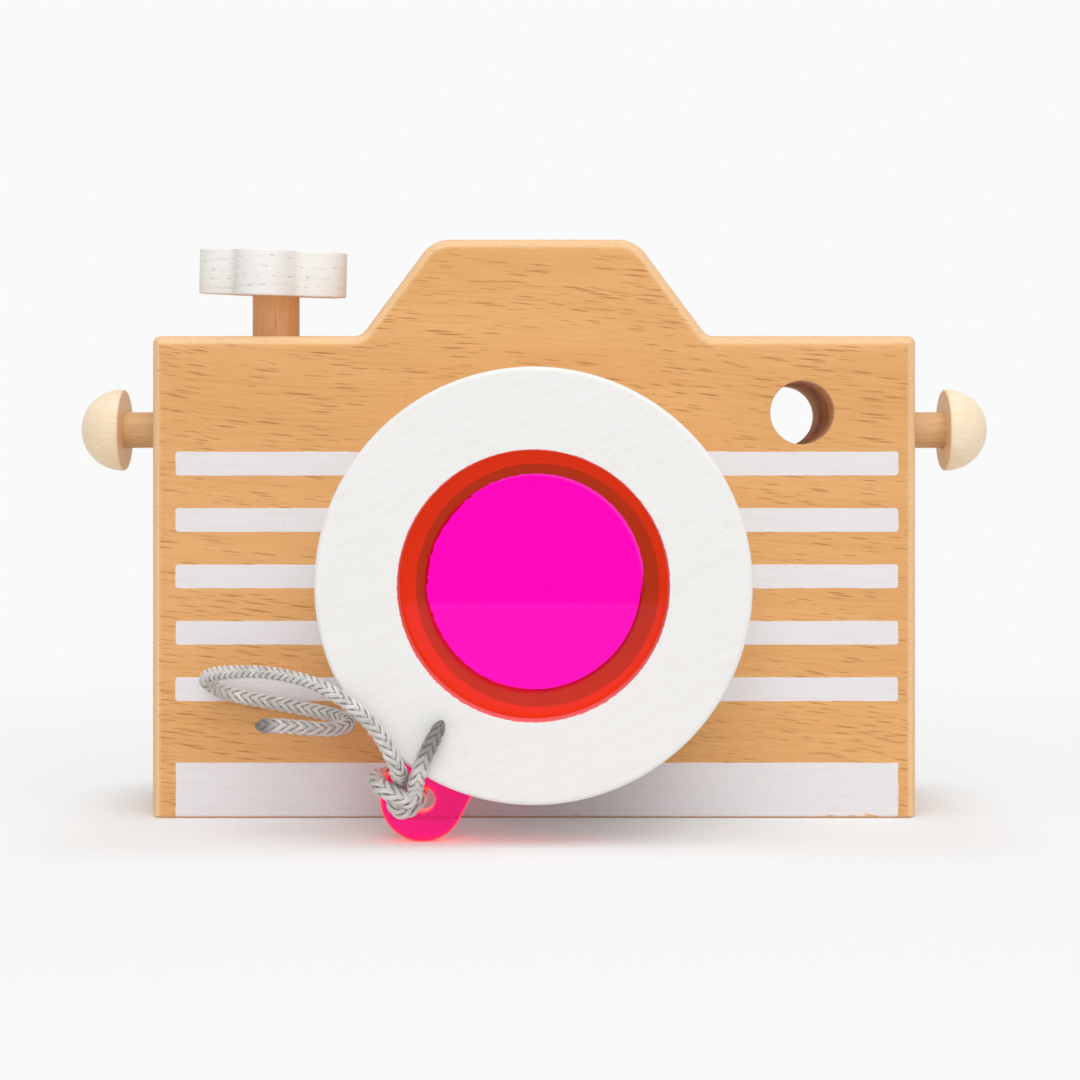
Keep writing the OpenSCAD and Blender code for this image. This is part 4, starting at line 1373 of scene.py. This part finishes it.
class TOYCAM_OT_winder(bpy.types.Operator):
    """Make the winder: its stem and its petal wheel"""

    bl_idname = "toy_camera.winder"
    bl_label = "Winder"

    def execute(self, context):
        """A grooved dowel that carries a leaning wheel with rounded petals."""
        sizes, colours = settings()
        grain_up = (0, math.pi / 2, 0)
        look = wood_material(
            "beech_dowel", colours.dowel, colours.dowel_dark, colours.beech_fleck, grain_up, 0.3
        )
        low, high = box("winder_stem")
        peg_low, peg_high = box("strap_peg_left")
        centre = np.array(JOINTS["winder_turn"]["pos_m"])
        groove_middle = (peg_low[2] + peg_high[2]) / 2
        half_groove = (sizes.peg_shank + 0.75 * MM) / 2
        under, over = groove_middle - half_groove, groove_middle + half_groove
        stem, groove = sizes.stem / 2, sizes.groove / 2
        corners = [
            [0, low[2]], [stem, low[2]], [stem, under], [groove, under],
            [groove, over], [stem, over], [stem, high[2]], [0, high[2]],
        ]
        profile = solid_profile(corners, [0] + [0.2 * MM] * 6 + [0])
        points, kinds = turned(profile, (centre[0], centre[1], 0), (0, 0, 1), (1, 0, 0), steps=96)
        piece("winder_dowel", points, kinds, [look], "winder", ["winder_stem"])
        points, kinds = wheel_surface(sizes, centre, centre[2])
        look = wheel_material(colours)
        piece("petal_wheel", points, kinds, [look], "winder", ["winder_wheel"], (1, 2))
        return {"FINISHED"}


class TOYCAM_OT_lens_rings(bpy.types.Operator):
    """Turn the lens barrel, the filter guide, the front ring and the eyepiece ring"""

    bl_idname = "toy_camera.lens_rings"
    bl_label = "Lens rings"

    def execute(self, context):
        """Rings about the lens axis, with broken edges."""
        sizes, colours = settings()
        lens = np.array(JOINTS["lens_turn"]["pos_m"])
        slide = JOINTS["filter_slide"]["axis"]
        centre, axis, across = (lens[0], 0, lens[2]), (0, 1, 0), (1, 0, 0)
        fine, soft = 0.2 * MM, 0.7 * MM
        low, high = box("front_ring")
        outer, mouth = (high[0] - low[0]) / 2, sizes.mouth / 2
        # The mouth's wall takes the rosy colour, painted light of the filter's glow
        inside = colours.mouth_painted_glow
        paint = ring_material("white_ring", colours, lens, mouth, inside, inside, low[1])
        profile = ring_profile(
            [[mouth, low[1]], [outer, low[1]], [outer, high[1]], [mouth, high[1]]],
            [0.25 * MM, soft, fine, fine],
        )
        points, kinds = turned(profile, centre, axis, across, True)
        piece("white_front_ring", points, kinds, [paint], "lens", ["front_ring"])

        low, high = box("filter_guide")
        points, kinds = guide_surface(sizes, lens, slide, low[1], high[1])
        piece("white_filter_guide", points, kinds, [paint], "lens", ["filter_guide"])

        low, high = box("lens_barrel")
        back = box("body")[0][1] - 0.25 * MM
        bore, tenon = sizes.barrel_bore / 2, sizes.tenon / 2
        seat, view = low[1] + sizes.seat_depth, bore - sizes.seat_width
        profile = ring_profile(
            [
                [bore, seat], [view, seat], [view + sizes.seat_flare, low[1]], [outer, low[1]],
                [outer, back], [tenon, back], [tenon, high[1]], [bore, high[1]],
            ],
            [fine, 0.1 * MM, fine, fine, soft, fine, fine, fine],
        )
        points, kinds = turned(profile, centre, axis, across, True)
        points = ragged_seat(points, lens, view, low[1])
        # The ledge's face is orange with painted filter light, and a darker copy deeper in is painted shade
        shaded = tuple(value * 0.66 for value in colours.ledge_wood_filter_lit)
        barrel_look = ring_material(
            "white_barrel", colours, lens, tenon + 0.5 * MM, colours.ledge_wood_filter_lit, shaded, low[1]
        )
        piece("white_lens_barrel", points, kinds, [barrel_look], "lens", ["lens_barrel"])

        low, high = box("eyepiece_ring")
        outer, eye = (high[0] - low[0]) / 2, sizes.eye_hole / 2
        socket, seat = tenon + 0.05 * MM, low[1] + sizes.socket
        profile = ring_profile(
            [
                [eye, seat], [socket, seat], [socket, low[1]],
                [outer, low[1]], [outer, high[1]], [eye, high[1]],
            ],
            [fine, fine, fine, fine, 0.4 * MM, 0.8 * MM],
        )
        points, kinds = turned(profile, centre, axis, across, True)
        slanted = (0, math.radians(40), 0)
        look = wood_material(
            "beech_eyepiece", colours.beech, colours.beech_dark, colours.beech_fleck, slanted, 0.7
        )
        piece("beech_eyepiece", points, kinds, [look], "lens", ["eyepiece_ring"])
        return {"FINISHED"}


class TOYCAM_OT_filter(bpy.types.Operator):
    """Cut the pink acrylic filter"""

    bl_idname = "toy_camera.filter"
    bl_label = "Colour filter"

    def execute(self, context):
        """A disc with its tab, clear on its faces and glowing at its edges."""
        sizes, colours = settings()
        low, high = box("colour_filter")
        lens = np.array(JOINTS["lens_turn"]["pos_m"])
        points, kinds = filter_surface(sizes, lens, JOINTS["filter_slide"]["axis"], low[1], high[1])
        looks = [filter_face_material(colours, lens, sizes), filter_edge_material(colours)]
        faces, edges = (0, 1), (2, 3)
        piece("pink_filter", points, kinds, looks, "filter", ["colour_filter"], faces, edges)
        return {"FINISHED"}


class TOYCAM_OT_faceted_lens(bpy.types.Operator):
    """Polish the faceted lens of the CAD frame"""

    bl_idname = "toy_camera.faceted_lens"
    bl_label = "Faceted lens"

    def execute(self, context):
        """The CAD lens keeps its flat facets and gets a clear material."""
        clear = (0.97, 0.98, 0.98)
        look = clear_material("clear_acrylic", clear, 0.02, clear, VIEW_INDEX)[0]
        lens = frame["nodes"]["kaleidoscope_lens"]
        lens.data.materials.clear()
        lens.data.materials.append(look)
        return {"FINISHED"}


class TOYCAM_PT_sidebar(bpy.types.Panel):
    """Lists the pieces and their settings"""

    bl_idname = "TOYCAM_PT_sidebar"
    bl_label = "Toy Camera"
    bl_space_type = "VIEW_3D"
    bl_region_type = "UI"
    bl_category = "Toy Camera"

    def draw(self, context):
        """One button for each piece, then the sizes and colours."""
        for operator in OPERATORS:
            self.layout.operator(operator.bl_idname)
        for values in settings():
            column = self.layout.column(align=True)
            for name in values.__annotations__:
                column.prop(values, name)


OPERATORS = (
    TOYCAM_OT_stage,
    TOYCAM_OT_cord,
    TOYCAM_OT_body,
    TOYCAM_OT_pegs,
    TOYCAM_OT_winder,
    TOYCAM_OT_lens_rings,
    TOYCAM_OT_filter,
    TOYCAM_OT_faceted_lens,
)
CLASSES = (ToyCameraSizes, ToyCameraColours, *OPERATORS, TOYCAM_PT_sidebar)


def register():
    """Registers the classes and hangs the settings on the scene."""
    for kind in CLASSES:
        bpy.utils.register_class(kind)
    bpy.types.Scene.toy_camera_sizes = PointerProperty(type=ToyCameraSizes)
    bpy.types.Scene.toy_camera_colours = PointerProperty(type=ToyCameraColours)


def unregister():
    """Takes the settings and the classes away again."""
    del bpy.types.Scene.toy_camera_colours
    del bpy.types.Scene.toy_camera_sizes
    for kind in reversed(CLASSES):
        bpy.utils.unregister_class(kind)


def main():
    register()
    wood_group()
    paint_group()
    bpy.ops.toy_camera.stage()
    bpy.ops.toy_camera.cord()
    bpy.ops.toy_camera.body()
    bpy.ops.toy_camera.pegs()
    bpy.ops.toy_camera.winder()
    bpy.ops.toy_camera.lens_rings()
    bpy.ops.toy_camera.filter()
    bpy.ops.toy_camera.faceted_lens()


if __name__ == "__main__":
    main()
